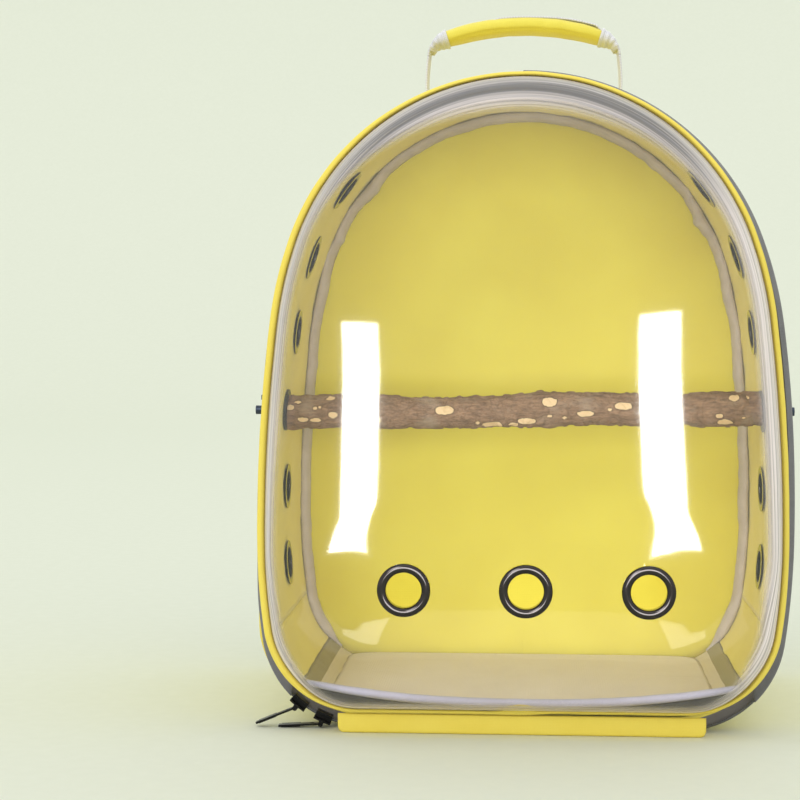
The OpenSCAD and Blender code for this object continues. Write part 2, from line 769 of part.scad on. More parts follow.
/* ---- back pad and straps ---- */
pad_y = back_y + touch;
pad_path = outline(half_w - back_pad_inset, body_h - back_pad_inset, back_pad_low, 40);
module back_pad() color("gray") {
    mid = [0, (body_h + back_pad_low) / 2 - back_pad_inset];
    rings = [[0.1, 1, 0], [0.5, 0.96, 0], [0.8, 0.86, 0], [0.95, 0.62, 0], [1, 0.3, 0], [0.99, 0, 0], [0.1, 0, 0]];
    skin([
        for (r = rings) [
            for (p = loop_points(pad_path, 0)) let (q = mid + (p - mid) * r[0])
                [q[0], pad_y + back_pad_t * r[1], q[1]]
        ]
    ], hub = true);
}

strap_top_z = body_h - strap_top_drop;

// The middle line of a shoulder strap, from its sewn top to its lower end, as t runs from 0 to 1
strap_y0 = pad_y + back_pad_t + strap_t / 2 + clear;
function strap_mid(t) = [
    mix(strap_top_x, strap_low_x, ease(t)),
    strap_y0 + strap_bow * pow(sin(180 * min(t * 1.05, 1)), 2),
    mix(strap_top_z, strap_low_z, t)
];
strap_n = 22;
strap_k = 12;
module strap_pad(s) color("gray")
    skin([
        for (i = [0 : strap_n]) let (
            t = i / strap_n,
            m = strap_mid(t),
            w = strap_w / 2 * (0.72 + 0.28 * ease(t * 3)) * (1 - 0.35 * ease((t - 0.82) / 0.18)),
            h = strap_t / 2 * (0.45 + 0.55 * ease(min(t, 1 - t) * 9))
        ) [
            for (j = [0 : strap_k - 1]) let (a = -360 * s * (j + 0.5) / strap_k, c = cos(a), d = sin(a))
                [s * (m[0] + w * sign(c) * pow(abs(c), 0.5)), m[1] + h * sign(d) * pow(abs(d), 0.7), m[2]]
        ]
    ]);
module strap_pad_left() strap_pad(-1);
module strap_pad_right() strap_pad(1);

// The lower webbing runs from the buckle down to the anchor tab at the body's corner
lock_w = webbing_w + 7;
lock_t = 4;
lock_l = 22;
lock_z = strap_low_z - lock_l - clear;
lock_y = strap_mid(1)[1];
anchor_x = half_w - anchor_inset;
tab_t = 2.6;
tab_h = 26;
module strap_webbing(s) color("silver") {
    top = lock_z - clear;
    low = anchor_z;
    run_n = 8;
    skin([
        for (i = [0 : run_n]) let (
            t = i / run_n,
            x = mix(strap_low_x, anchor_x, ease(t)),
            y = mix(lock_y, pad_y + webbing_t / 2 + tab_t + clear, pow(t, 2.6)),
            z = mix(top, low, t)
        ) [for (c = [[-1, -1], [-1, 1], [1, 1], [1, -1]])
            [s * (x + s * c[0] * webbing_w / 2), y + c[1] * webbing_t / 2, z]]
    ]);
}
module strap_webbing_left() strap_webbing(-1);
module strap_webbing_right() strap_webbing(1);

module ladder_lock(s) color("black")
    translate([s * strap_low_x, lock_y + lock_t / 2, lock_z])
        rotate([90, 0, 0])
            linear_extrude(lock_t)
                difference() {
                    translate([-lock_w / 2, 0])
                        square([lock_w, lock_l]);
                    for (z = [3, 9.5, 15])
                        translate([-webbing_w / 2 - 0.5, z])
                            square([webbing_w + 1, 3.6]);
                }
module ladder_lock_left() ladder_lock(-1);
module ladder_lock_right() ladder_lock(1);

// Sewn tabs: one across the top ends of both pads, and one at each lower corner
module strap_yoke() color("gray")
    translate([0, strap_y0 + strap_t / 2, strap_top_z + clear])
        rotate([90, 0, 0])
            linear_extrude(strap_y0 + strap_t / 2 - pad_y - back_pad_t - clear)
                polygon([
                    [-strap_top_x - strap_w * 0.36, 0], [strap_top_x + strap_w * 0.36, 0],
                    [strap_top_x + strap_w * 0.3, yoke_h], [-strap_top_x - strap_w * 0.3, yoke_h]
                ]);
module anchor_tab(s) color("gray")
    translate([s * anchor_x, pad_y + tab_t, anchor_z + tab_h / 2])
        rotate([90, 0, 0])
            linear_extrude(tab_t)
                polygon([[-webbing_w / 2 - 2, 0], [webbing_w / 2 + 2, 0], [18, -tab_h], [-18, -tab_h]]);
module anchor_tab_left() anchor_tab(-1);
module anchor_tab_right() anchor_tab(1);

side_band();
base_panel();
back_panel();
front_piping();
rear_piping();
back_seam_tape();
floor_mat();
front_lip();
hinge_strip();
zip_tape_body();
zip_coil_body();
zip_tape_door();
zip_coil_door();
door_ring();
dome_window();
window_eyelets();
window_eyelet_washers();
eyelets_left();
eyelets_right();
eyelet_washers_left();
eyelet_washers_right();
perch();
perch_stud_left();
perch_stud_right();
perch_washers_inner();
perch_washers_outer();
wing_nut_left();
wing_nut_right();
slider_upper();
slider_lower();
pull_upper();
pull_lower();
handle_grip();
handle_webbing();
handle_leg_left();
handle_leg_right();
back_pad();
strap_pad_left();
strap_pad_right();
strap_webbing_left();
strap_webbing_right();
ladder_lock_left();
ladder_lock_right();
strap_yoke();
anchor_tab_left();
anchor_tab_right();
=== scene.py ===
"""A bird travel carrier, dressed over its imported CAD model.

X runs to the viewer's right, Y to the back, Z up from the ground. Shapes are worked out in
millimetres, as in the CAD source, and become metres when a piece is finished.
"""

from math import asin, atan2, copysign, cos, degrees, dist, exp, pi, radians, sin, sqrt, tan, tau

import bmesh
import bpy
from mathutils import Matrix, Vector, noise


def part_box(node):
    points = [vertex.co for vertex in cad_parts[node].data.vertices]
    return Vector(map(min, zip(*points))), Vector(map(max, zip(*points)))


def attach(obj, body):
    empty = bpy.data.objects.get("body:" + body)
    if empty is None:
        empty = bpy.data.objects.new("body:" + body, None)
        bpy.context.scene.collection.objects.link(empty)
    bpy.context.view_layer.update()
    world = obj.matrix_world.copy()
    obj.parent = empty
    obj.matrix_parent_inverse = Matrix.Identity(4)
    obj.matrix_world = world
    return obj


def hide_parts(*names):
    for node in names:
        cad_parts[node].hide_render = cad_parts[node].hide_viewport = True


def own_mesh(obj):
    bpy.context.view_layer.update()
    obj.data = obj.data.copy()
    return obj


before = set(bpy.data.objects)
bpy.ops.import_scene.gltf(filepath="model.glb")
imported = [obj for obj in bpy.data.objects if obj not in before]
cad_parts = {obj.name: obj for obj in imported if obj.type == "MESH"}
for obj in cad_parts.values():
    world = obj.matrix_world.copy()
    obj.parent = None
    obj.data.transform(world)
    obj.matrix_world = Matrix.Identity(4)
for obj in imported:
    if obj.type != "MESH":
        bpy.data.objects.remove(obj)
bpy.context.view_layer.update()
MM = 0.001
SIDES = ((-1, "left"), (1, "right"))

# ---- sizes of the carrier, in millimetres ----
BODY_HALF, BODY_TOP = 168.0, 413.0
FRONT_Y, BACK_Y = -95.0, 95.0
WALL = 5.0
WIDEST_Z = 122.0
CROWN_STEP = 12.0
CORNER_R = 66.0
PIPING = 4.4
RING_INSET, HINGE_H = 3.0, 13.3
RING_W = 5.5
RING_BACK = FRONT_Y - 24.0
FLANGE_Y = RING_BACK - 3.0
RING_CORNER_R = 60.0
FILM = 1.4
DOME_RISE, DOME_CROWN = 33.0, 4.0
DOME_EDGE, DOME_TOE = 23.0, 52.0
TAPE_W = 11.0
CROWN_A, SHOULDER_A, FOOT_A = 70.0, 83.0, 98.0


# ---- the arched outline that the body, the door and the zip share ----
def dir_at(angle):
    """The outward direction whose angle from the top is given, in degrees."""
    return Vector((sin(radians(angle)), cos(radians(angle))))


def mix(a, b, t):
    return a + (b - a) * t


def ease(t):
    t = min(max(t, 0.0), 1.0)
    return t * t * (3 - 2 * t)


def hump(x):
    return exp(-(x**2))


def signed_power(value, power):
    """A power that keeps its base's sign. Below 1 it makes a round section fuller."""
    return copysign(abs(value) ** power, value)


def out_and_back(u):
    """0 to 1 over a sheet's one face, and back to 0 over its other."""
    return 2 * u if u <= 0.5 else 2 - 2 * u


def node_box(node):
    """The two corners of a CAD node's box, in millimetres."""
    return [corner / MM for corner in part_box(node)]


class Outline:
    """Five tangent arcs down each side of an arch, and a straight foot between them."""

    def __init__(self, half, top, bottom, corner):
        crown = half - CROWN_STEP
        across = half - crown * dir_at(CROWN_A).x
        down = top - WIDEST_Z - crown * (1 - dir_at(CROWN_A).y)
        p = dir_at(SHOULDER_A).x - dir_at(CROWN_A).x
        q = 1 - dir_at(SHOULDER_A).x
        u = dir_at(CROWN_A).y - dir_at(SHOULDER_A).y
        v = dir_at(SHOULDER_A).y
        det = p * v - q * u
        shoulder = (across * v - q * down) / det
        side = (p * down - u * across) / det
        lower = corner + (WIDEST_Z - corner - bottom) / sin(radians(FOOT_A - 90))
        radii = (crown, shoulder, side, lower, corner)
        turns = (0, CROWN_A, SHOULDER_A, 90, FOOT_A, 180)
        centre = Vector((0, top - crown))
        self.arcs = []
        for i, radius in enumerate(radii):
            if i:
                centre = centre + (radii[i - 1] - radius) * dir_at(turns[i])
            self.arcs.append((centre, radius, turns[i], turns[i + 1]))
        self.arc_way = sum(self.way_of(arc) for arc in self.arcs)
        self.foot = centre.x
        self.half_way = self.arc_way + self.foot

    @staticmethod
    def way_of(arc):
        return arc[1] * radians(arc[3] - arc[2])

    def at_angle(self, angle, out=0.0):
        centre, radius, _, _ = next(arc for arc in self.arcs if abs(angle) <= arc[3] + 1e-6)
        point = centre + (radius + out) * dir_at(abs(angle))
        return Vector((copysign(point.x, angle), point.y))

    def angle_at(self, way):
        """The normal's angle at a way along the outline from its crown, negative to the left."""
        left = abs(way)
        for arc in self.arcs:
            if left <= self.way_of(arc):
                break
            left -= self.way_of(arc)
        else:
            return copysign(180.0, way)
        return copysign(arc[2] + degrees(left / arc[1]), way)

    def way_at(self, angle):
        way = 0.0
        for arc in self.arcs:
            if abs(angle) <= arc[3]:
                return copysign(way + arc[1] * radians(abs(angle) - arc[2]), angle)
            way += self.way_of(arc)

    def at(self, way, out=0.0):
        """(point, outward direction) at a way along the closed outline from its crown."""
        way = (way + self.half_way) % (2 * self.half_way) - self.half_way
        if abs(way) > self.arc_way:
            foot = copysign(self.foot - (abs(way) - self.arc_way), way)
            return Vector((foot, self.at_angle(180, out).y)), Vector((0, -1))
        angle = self.angle_at(way)
        return self.at_angle(angle, out), dir_at(angle)


BODY = Outline(BODY_HALF, BODY_TOP, 0, CORNER_R)
RING = Outline(BODY_HALF - RING_INSET, BODY_TOP - 1, HINGE_H, RING_CORNER_R)
ZIP = Outline(BODY_HALF - RING_INSET / 6, BODY_TOP - RING_INSET / 6, 1.5, CORNER_R - 2)


# ---- making meshes ----
def new_object(name, data):
    made = bpy.data.objects.new(name, data)
    bpy.context.scene.collection.objects.link(made)
    return made


def new_mesh(name, bm, smooth=True):
    mesh = bpy.data.meshes.new(name)
    bm.to_mesh(mesh)
    bm.free()
    for face in mesh.polygons:
        face.use_smooth = smooth
    return mesh


def finish_mesh(name, bm, body, materials, replaces=(), weld=0.01):
    """Turns a bmesh in millimetres into a smooth piece that rides on a CAD body."""
    materials = materials if isinstance(materials, list) else [materials]
    if weld:
        bmesh.ops.remove_doubles(bm, verts=bm.verts, dist=weld)
    bmesh.ops.recalc_face_normals(bm, faces=bm.faces)
    bmesh.ops.scale(bm, vec=(MM, MM, MM), verts=bm.verts)
    piece = new_object(name, new_mesh(name, bm))
    for material in materials:
        piece.data.materials.append(material)
    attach(piece, body)
    if replaces:
        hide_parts(*replaces)
    return piece


def close_ends(bm):
    bmesh.ops.remove_doubles(bm, verts=bm.verts, dist=0.01)
    bmesh.ops.holes_fill(bm, edges=[e for e in bm.edges if e.is_boundary])


def lay_grid(bm, across, along, place, size=(1.0, 1.0), slot=0, tube=False):
    """Lays a grid of vertices on a surface: place(u, v) gives a point, and size is the surface's
    real width and length, so that its UV map is in millimetres. A tube closes on itself across,
    and its ends are capped."""
    made = bmesh.ops.create_grid(bm, x_segments=across, y_segments=along, size=1)["verts"]
    uv = bm.loops.layers.uv.verify()
    share = {v: ((v.co.x + 1) / 2, (v.co.y + 1) / 2) for v in made}
    for face in {f for v in made for f in v.link_faces}:
        face.material_index = slot
        for loop in face.loops:
            u, v = share[loop.vert]
            loop[uv].uv = (u * size[0], v * size[1])
    for vert, (u, v) in share.items():
        vert.co = place(u % 1.0 if tube else u, v)
    if tube:
        close_ends(bm)


def new_grid(*grid, **settings):
    """A new bmesh with one grid in it."""
    bm = bmesh.new()
    lay_grid(bm, *grid, **settings)
    return bm


def dress_faces(bm, slot_at=None, plane=None):
    """Sets each face's slot by slot_at(its middle), and lays the UV map flat on X and an axis."""
    uv = bm.loops.layers.uv.verify()
    for face in bm.faces:
        if slot_at:
            face.material_index = slot_at(face.calc_center_median())
        for loop in face.loops if plane else ():
            loop[uv].uv = (loop.vert.co.x, getattr(loop.vert.co, plane))


def section_piece(name, path, section, y0, ways, body, material, replaces=(), fine=4.0, wobble=None):
    """A closed section of (outward, back) points, swept along an outline between two ways."""
    round_it = section + section[:1]
    edge = [0.0]
    for a, b in zip(round_it, round_it[1:]):
        edge.append(edge[-1] + dist(a, b))
    length = ways[1] - ways[0]
    along = max(8, round(length / fine))
    closed = abs(length - 2 * path.half_way) < 1

    def place(u, v):
        i = int(round(u * len(section))) % len(section)
        out, back = section[i]
        way = mix(ways[0], ways[1], v)
        if wobble:
            more = wobble(way, i)
            fade = ease((path.half_way - abs(way)) / 20) if closed else 1.0
            out, back = out + fade * more[0], back + fade * more[1]
        point, _ = path.at(way, out)
        return (point.x, y0 + back, point.y)

    bm = new_grid(len(section), along, place, (edge[-1], length))
    if not closed:
        close_ends(bm)
    return finish_mesh(name, bm, body, material, replaces)


def round_section(diameter, sides, out=0.0):
    return [
        (out + diameter / 2 * cos(a), diameter / 2 * sin(a))
        for a in (tau * k / sides for k in range(sides))
    ]


def add_turned(bm, profile, place, steps=64):
    """Spins a profile of (radius, height) points into a ring about the +Z of its place."""
    verts = [bm.verts.new((r, 0, h)) for r, h in profile]
    edges = [bm.edges.new(pair) for pair in zip(verts, verts[1:] + verts[:1])]
    bmesh.ops.spin(
        bm, geom=verts + edges, cent=(0, 0, 0), axis=(0, 0, 1), angle=tau, steps=steps, use_merge=True
    )
    fresh = [v for v in bm.verts if not v.tag]
    bmesh.ops.transform(bm, matrix=place, verts=fresh)
    for v in fresh:
        v.tag = True


def ripple(x, y, z=0.0):
    """Smooth noise between -1 and 1, the same on every run."""
    return noise.noise(Vector((x, y, z)))


# ---- materials ----
def linear(hex_colour):
    """An sRGB hex colour as linear RGBA."""
    values = [int(hex_colour[i : i + 2], 16) / 255 for i in (1, 3, 5)]
    return tuple(c / 12.92 if c <= 0.04045 else ((c + 0.055) / 1.055) ** 2.4 for c in values) + (1.0,)


class Nodes:
    """The node tree of one new material. Its methods add a node and return what comes out."""

    def __init__(self, name):
        self.material = bpy.data.materials.new(name)
        self.material.use_nodes = True
        self.material.node_tree.nodes.clear()

    def add(self, kind, inputs=None, **settings):
        """Sets a node's properties and its sockets: a socket is linked, a hex colour made linear."""
        tree = self.material.node_tree
        made = tree.nodes.new("ShaderNode" + kind)
        for name, value in settings.items():
            setattr(made, name, value)
        for key, value in (inputs or {}).items():
            if isinstance(value, bpy.types.NodeSocket):
                tree.links.new(value, made.inputs[key])
            else:
                made.inputs[key].default_value = linear(value) if isinstance(value, str) else value
        return made.outputs

    def maths(self, operation, *values, clamp=False):
        return self.add("Math", dict(enumerate(values)), operation=operation, use_clamp=clamp)[0]

    def noise(self, vector, scale, detail, roughness=0.5):
        inputs = {"Vector": vector, "Scale": scale, "Detail": detail, "Roughness": roughness}
        return self.add("TexNoise", inputs)["Fac"]

    def attribute(self, name):
        return self.add("Attribute", attribute_name=name)["Fac"]

    def drawn_out(self, vector, scale):
        return self.add("Mapping", {"Vector": vector, "Scale": scale})[0]

    def ranged(self, value, low, high, to_low=0.0, to_high=1.0):
        return self.add("MapRange", {"Value": value, 1: low, 2: high, 3: to_low, 4: to_high})[0]

    def mixed(self, share, first, second):
        return self.add("Mix", {0: share, 6: first, 7: second}, data_type="RGBA")[2]

    def mixed_shaders(self, share, first, second):
        return self.add("MixShader", {0: share, 1: first, 2: second})[0]

    def raised(self, height, strength, distance, under=None):
        inputs = {"Height": height, "Strength": strength, "Distance": distance}
        return self.add("Bump", {**inputs, "Normal": under} if under else inputs)[0]

    def surface(self, colour, roughness, normal, **more):
        """A principled shader; more names its other sockets, with _ for a space."""
        inputs = {"Base Color": colour, "Roughness": roughness, "Normal": normal}
        inputs.update((name.replace("_", " "), value) for name, value in more.items())
        return self.add("BsdfPrincipled", inputs)[0]

    def show(self, shader):
        self.add("OutputMaterial", {"Surface": shader})
        return self.material


def woven_cloth(name, light, dark, thread, bump=0.25, roughness=0.8, sheen=0.25, mottle=28.0, ribs=False):
    """A plain weave of warp and weft threads. thread is their spacing in millimetres, drawn as
    coarse as the picture needs, and mottle the size of the soft patches of the dyed cloth."""
    n = Nodes(name)
    uv, place = n.add("UVMap")[0], n.add("TexCoord")["Object"]
    wave = {"Vector": uv, "Scale": tau / thread / 20}
    warp, weft = (n.add("TexWave", wave, bands_direction=way)["Fac"] for way in "XY")
    over = n.maths("MAXIMUM" if ribs else "MINIMUM", warp, weft)
    patches = n.maths("MULTIPLY", n.noise(place, 1000 / mottle, 3.0, 0.55), 0.6)
    grain = n.maths("MULTIPLY_ADD", over, 0.22, patches)
    slubs = n.maths("MULTIPLY_ADD", n.noise(uv, 0.9, 2.0), 0.18, grain, clamp=True)
    return n.show(n.surface(
        n.mixed(slubs, dark, light), roughness, n.raised(over, bump, 0.0004),
        Specular_IOR_Level=0.25, Sheen_Weight=sheen, Sheen_Roughness=0.45,
    ))


def plain_finish(name, colour, second, roughness, metallic=0.0, grain=0.6, bump=0.1, coat=0.0, gloss=0.5):
    """A moulded, plated or painted surface whose colour and bump vary in fine grain. grain is its
    size in millimetres."""
    n = Nodes(name)
    place = n.add("TexCoord")["Object"]
    spots, wear = n.noise(place, 1000 / grain, 4.0), n.noise(place, 90.0, 3.0)
    return n.show(n.surface(
        n.mixed(wear, colour, second), n.ranged(wear, 0.3, 0.7, roughness * 0.75, roughness * 1.25),
        n.raised(spots, bump, 0.0002), Metallic=metallic, Coat_Weight=coat, Specular_IOR_Level=gloss,
    ))


def clear_film():
    """Vacuum-formed PET film: glossy and clear, with faint drawn streaks in its bump where it was pulled round the
    edge.
    Over that edge band, a white and grey colour is a painted reflection that stands in for the bright room mirrored
    there."""
    n = Nodes("vacuum formed clear PET film")
    uv, place = n.add("UVMap")[0], n.add("TexCoord")["Object"]
    streak_band_and_painted_reflection, painted_grey_share = n.attribute("streaks_and_painted_reflection"), n.attribute("painted_grey_reflection")
    streaks = n.noise(n.drawn_out(uv, (0.006, 0.16, 1.0)), 1.0, 5.0, 0.6)
    ripples = n.raised(n.noise(place, 9.0, 1.0), 0.04, 0.001)
    normal = n.raised(n.maths("MULTIPLY", streaks, streak_band_and_painted_reflection), 0.4, 0.001, ripples)
    steep = n.maths("POWER", n.add("LayerWeight", {"Blend": 0.5})["Facing"], 4.0)
    gloss = n.maths("MULTIPLY_ADD", steep, 0.5, 0.045, clamp=True)
    mirror = n.surface("#F4F4F2", 0.04, normal, Metallic=1.0)
    glass = n.mixed_shaders(gloss, n.add("BsdfTransparent", {"Color": "#FAFAF8"})[0], mirror)
    # Painted reflection: a white and grey diffuse colour over the edge band stands in for the bright room mirrored
    # there, and a painted grey darkens it over the crown
    painted_reflection_share = n.maths("MULTIPLY", streak_band_and_painted_reflection, n.ranged(streaks, 0.38, 0.62, 0.6, 0.92), clamp=True)
    lines = n.noise(n.drawn_out(uv, (0.004, 0.27, 1.0)), 1.0, 3.0)
    tone = n.maths("MULTIPLY_ADD", painted_grey_share, -1.0, n.ranged(lines, 0.36, 0.58, 0.35), clamp=True)
    painted_reflection_colour = n.surface(n.mixed(tone, "#7A787E", "#F0E6E8"), 0.3, normal)
    return n.show(n.mixed_shaders(painted_reflection_share, glass, painted_reflection_colour))


def bark():
    """Dry reddish brown branch bark: fine long grain with dark flecks and grey weathered patches.
    Where the bark is shaved off, the pale wood shows inside a dark rim."""
    n = Nodes("dry branch bark")
    place, shaved = n.add("TexCoord")["Object"], n.attribute("shaved")
    grain = n.ranged(n.noise(n.drawn_out(place, (0.3, 1.0, 1.0)), 420.0, 9.0, 0.74), 0.33, 0.68)
    colour = n.mixed(grain, "#5F4232", "#AE8A70")
    for share, tone in (
        (n.ranged(n.noise(place, 900.0, 3.0), 0.56, 0.68, 0.0, 0.5), "#3E291E"),
        (n.ranged(n.noise(place, 60.0, 5.0), 0.5, 0.72, 0.0, 0.6), "#B09C8C"),
        (n.ranged(shaved, 0.0, 0.45), "#4A2F20"),
        (n.ranged(shaved, 0.5, 0.8), "#EFCFA6"),
    ):
        colour = n.mixed(share, colour, tone)
    return n.show(n.surface(colour, 0.85, n.raised(grain, 0.6, 0.0008)))


# The padded walls: yellow Oxford cloth over foam
YELLOW = woven_cloth("yellow polyester oxford cloth", "#F2E460", "#E0CC48", 1.3, bump=0.15)
# The back panel: the same cloth, stretched flat
YELLOW_BACK = woven_cloth("yellow oxford cloth of the back panel", "#F0E962", "#D0BC3A", 1.3, bump=0.06, mottle=75.0)
# Piping, ring binding and hinge fold: yellow nylon tape
BINDING = woven_cloth("yellow nylon binding tape", "#F0DE6A", "#E4CB4C", 0.9, bump=0.3, roughness=0.6, sheen=0.1)
# The binding over the back panel's inner seam: grey nylon tape
SEAM_TAPE = woven_cloth("grey brown seam binding", "#E2D6D4", "#A99C98", 0.9, bump=0.35, roughness=0.65, mottle=12.0)
# The zip's tapes: grey polyester, its grey darkened in part as painted shade for the shadow the tape lies in at the
# right
ZIP_TAPE_WITH_PAINTED_SHADE = woven_cloth("grey polyester zip tape darkened as painted shade", "#7C7B80", "#545358", 0.8, bump=0.35, mottle=12.0)
# The zip's teeth: a nylon coil
COIL = woven_cloth("nylon zip coil", "#77787C", "#3B3C40", 1.5, bump=0.9, roughness=0.45, sheen=0.0, ribs=True)
# The mat's bound edges: grey tape, its olive tint and darkness in part painted shade for the shadow it lies in at the
# floor's corners
MAT_BINDING_WITH_PAINTED_SHADE = woven_cloth("grey mat binding with painted olive shade", "#B5A987", "#8A7E5C", 0.9, bump=0.3, roughness=0.65, mottle=14.0)
# The sheet under the mat's lip: dark grey cloth, a painted shadow for the shade in the gap under the roll
PAINTED_SHADOW_CLOTH = woven_cloth("dark cloth painted as shadow under the lip", "#4C4B52", "#312F36", 0.9, bump=0.3, mottle=14.0)
# The mat: beige cotton canvas
MAT_CLOTH = woven_cloth("beige cotton canvas of the mat", "#ECE2DE", "#DACCC4", 1.6, bump=0.35, mottle=20.0)
# The mat's front roll: lavender grey satin
LIP_CLOTH = woven_cloth("lavender grey satin binding", "#CDCAE2", "#A5A2BE", 0.8, bump=0.25, roughness=0.5, mottle=14.0)
# The handle's legs, band and collars: silver grey webbing
WEBBING = woven_cloth(
    "silver grey ribbed webbing", "#EDEDF3", "#B4B4BC", 1.8, bump=0.6, roughness=0.55, sheen=0.1, ribs=True
)
# The handle's padded sleeve: yellow cloth
GRIP_CLOTH = woven_cloth("yellow cloth of the handle's sleeve", "#E9DE66", "#D3C348", 1.1, bump=0.25, mottle=12.0)
# The quilted back pad: grey spacer mesh
BACK_MESH = woven_cloth("grey spacer mesh", "#8E9094", "#55575C", 3.2, bump=0.9, roughness=0.9, mottle=30.0)
# The back pad's bound edge: grey nylon
BINDING_GREY = woven_cloth("grey nylon binding", "#7C7D80", "#5A5B5F", 0.9, bump=0.3, roughness=0.6, mottle=14.0)
# The shoulder straps: dark grey Oxford cloth
STRAP_CLOTH = woven_cloth("dark grey oxford cloth", "#6C6E72", "#4C4E52", 1.2, bump=0.25, mottle=24.0)
# The straps' adjusting webbing: grey polypropylene
WEBBING_DARK = woven_cloth(
    "grey strap webbing", "#8A8B8E", "#5E6064", 1.6, bump=0.6, roughness=0.6, sheen=0.1, ribs=True
)
# The studio background: matt paper
PAPER = plain_finish("pale green background paper", "#EBEFE3", "#E8ECE0", 0.9, grain=2.0, bump=0.02)
# The rolled eyelets: gunmetal plated brass under lacquer
GUNMETAL = plain_finish(
    "gunmetal plated brass", "#36302F", "#221E1E", 0.15, metallic=1.0, grain=0.5, bump=0.02, coat=0.6
)
# Studs, washers and wing nuts: blued steel
DARK_STEEL = plain_finish("blued steel", "#4A5260", "#353B47", 0.35, metallic=1.0, grain=0.4, bump=0.05)
# Zip sliders and pulls: black lacquered zinc
BLACK_METAL = plain_finish("black lacquered zinc", "#070708", "#0D0D0F", 0.35, grain=0.4, bump=0.05, gloss=0.2)
# The ladder locks: moulded black acetal
BLACK_PLASTIC = plain_finish("moulded black acetal", "#1B1C1E", "#26272A", 0.45, grain=0.3, bump=0.15)
# The window: clear PET film, with a painted white and grey reflection round its rim
FILM_CLEAR = clear_film()
# The perch: a dry branch with its bark on
BARK = bark()

# The record's material slot that each of them stands for
SLOT_OF = {
    each.name: slot
    for slot, members in {
        "yellow_fabric": [YELLOW, YELLOW_BACK], "yellow_binding": [BINDING], "grey_tape": [ZIP_TAPE_WITH_PAINTED_SHADE],
        "grey_seam_tape": [SEAM_TAPE], "zip_coil": [COIL], "clear_film": [FILM_CLEAR], "gunmetal": [GUNMETAL],
        "bark_wood": [BARK], "mat_cloth": [MAT_CLOTH, MAT_BINDING_WITH_PAINTED_SHADE], "lip_cloth": [LIP_CLOTH, PAINTED_SHADOW_CLOTH],
        "silver_webbing": [WEBBING], "grip_cloth": [GRIP_CLOTH],
        "back_mesh": [BACK_MESH, BINDING_GREY, STRAP_CLOTH, WEBBING_DARK],
    }.items()
    for each in members
}


# ---- the padded body ----
def padded_section(steps, corner=1.6):
    """The padded wall's section, its outer face at 0 outwards and its edges rounded."""
    outer = [(0.0, mix(FRONT_Y + corner, BACK_Y - corner, k / steps)) for k in range(steps + 1)]
    inner = [(-WALL, mix(BACK_Y - corner, FRONT_Y + corner, k / steps)) for k in range(steps + 1)]
    nose = 0.3 * corner
    return (
        outer + [(-nose, BACK_Y - nose), (-WALL / 2, BACK_Y), (nose - WALL, BACK_Y - nose)]
        + inner + [(nose - WALL, FRONT_Y + nose), (-WALL / 2, FRONT_Y), (-nose, FRONT_Y + nose)]
    )


WALL_SECTION = padded_section(22)
FOOT_WAY = BODY.way_at(FOOT_A)


def zip_slack(way):
    """The zip stands out a little at the right, and is drawn in behind the ring at the left."""
    height = BODY.at_angle(BODY.angle_at(way)).y
    return 1.8 * hump((height - 220) / 110) if way > 0 else -1.3 * ease((height - 75) / 40)


def foot_slack(way):
    """The front cord bows out at the lower left, outside the zip."""
    height = BODY.at_angle(BODY.angle_at(way)).y
    return 3.8 * hump((height - 55) / 28) if way < 0 else 0.0


def wall_slack(way, i):
    """The padding's soft unevenness, and the puckers where the cloth is drawn into its seams."""
    out, back = WALL_SECTION[i % len(WALL_SECTION)]
    soft = 0.7 * ripple(way / 42, back / 36, out) + 0.35 * ripple(way / 15, back / 21, 5 + out)
    pull = exp(-(BACK_Y - TAPE_W - back) / 9) if back < BACK_Y - TAPE_W else 1.0
    pull += 0.5 * exp(-(back - FRONT_Y) / 9)
    pucker = pull * 0.8 * ripple(way / 7.5, 3.0, out)
    face = 1.0 if out < -WALL / 2 else 0.75
    loose = (zip_slack(way) + 0.6 * foot_slack(way)) * hump((back - FRONT_Y) / 28)
    return (face * (soft + pucker) + loose, 0.0)


side_wall = section_piece(
    "side_wall_cloth", BODY, WALL_SECTION, 0.0, (-FOOT_WAY, FOOT_WAY), "shell", YELLOW, ["side_band"], wobble=wall_slack
)
floor_wall = section_piece(
    "floor_wall_cloth", BODY, WALL_SECTION, 0.0, (FOOT_WAY, 2 * BODY.half_way - FOOT_WAY), "shell", YELLOW,
    ["base_panel"], wobble=lambda way, i: (min(0.0, wall_slack(way, i)[0]), 0.0),
)


def wall_matrix(side, angle, y=0.0, lift=0.0):
    """Sets a piece's +Z along the outward direction on the side wall, at an angle from the crown."""
    point = BODY.at_angle(side * angle, lift)
    turn = Matrix.Rotation(radians(side * angle), 4, "Y")
    return Matrix.Translation((point.x, y, point.y)) @ turn


SIDE_FIRST, SIDE_PITCH = 145.0, 53.5
EYELET_ANGLES = [BODY.angle_at(SIDE_FIRST + k * SIDE_PITCH) for k in (0, 1, 2, 4, 5)]
PERCH_ANGLE = BODY.angle_at(SIDE_FIRST + 3 * SIDE_PITCH)
PERCH_Y, PERCH_Z = -20.0, BODY.at_angle(PERCH_ANGLE).y
EYELET_OUT, EYELET_BORE, EYELET_H = 32.5, 21.6, 2.4
BARREL = EYELET_BORE / 2 + 0.7


HOLE_GAP, STUD_HOLE, PUNCH_DEPTH = 0.4, 3.4, 34.0
# How far an eyelet's barrel reaches past the sheet it holds
EYELET_PAST = 0.9


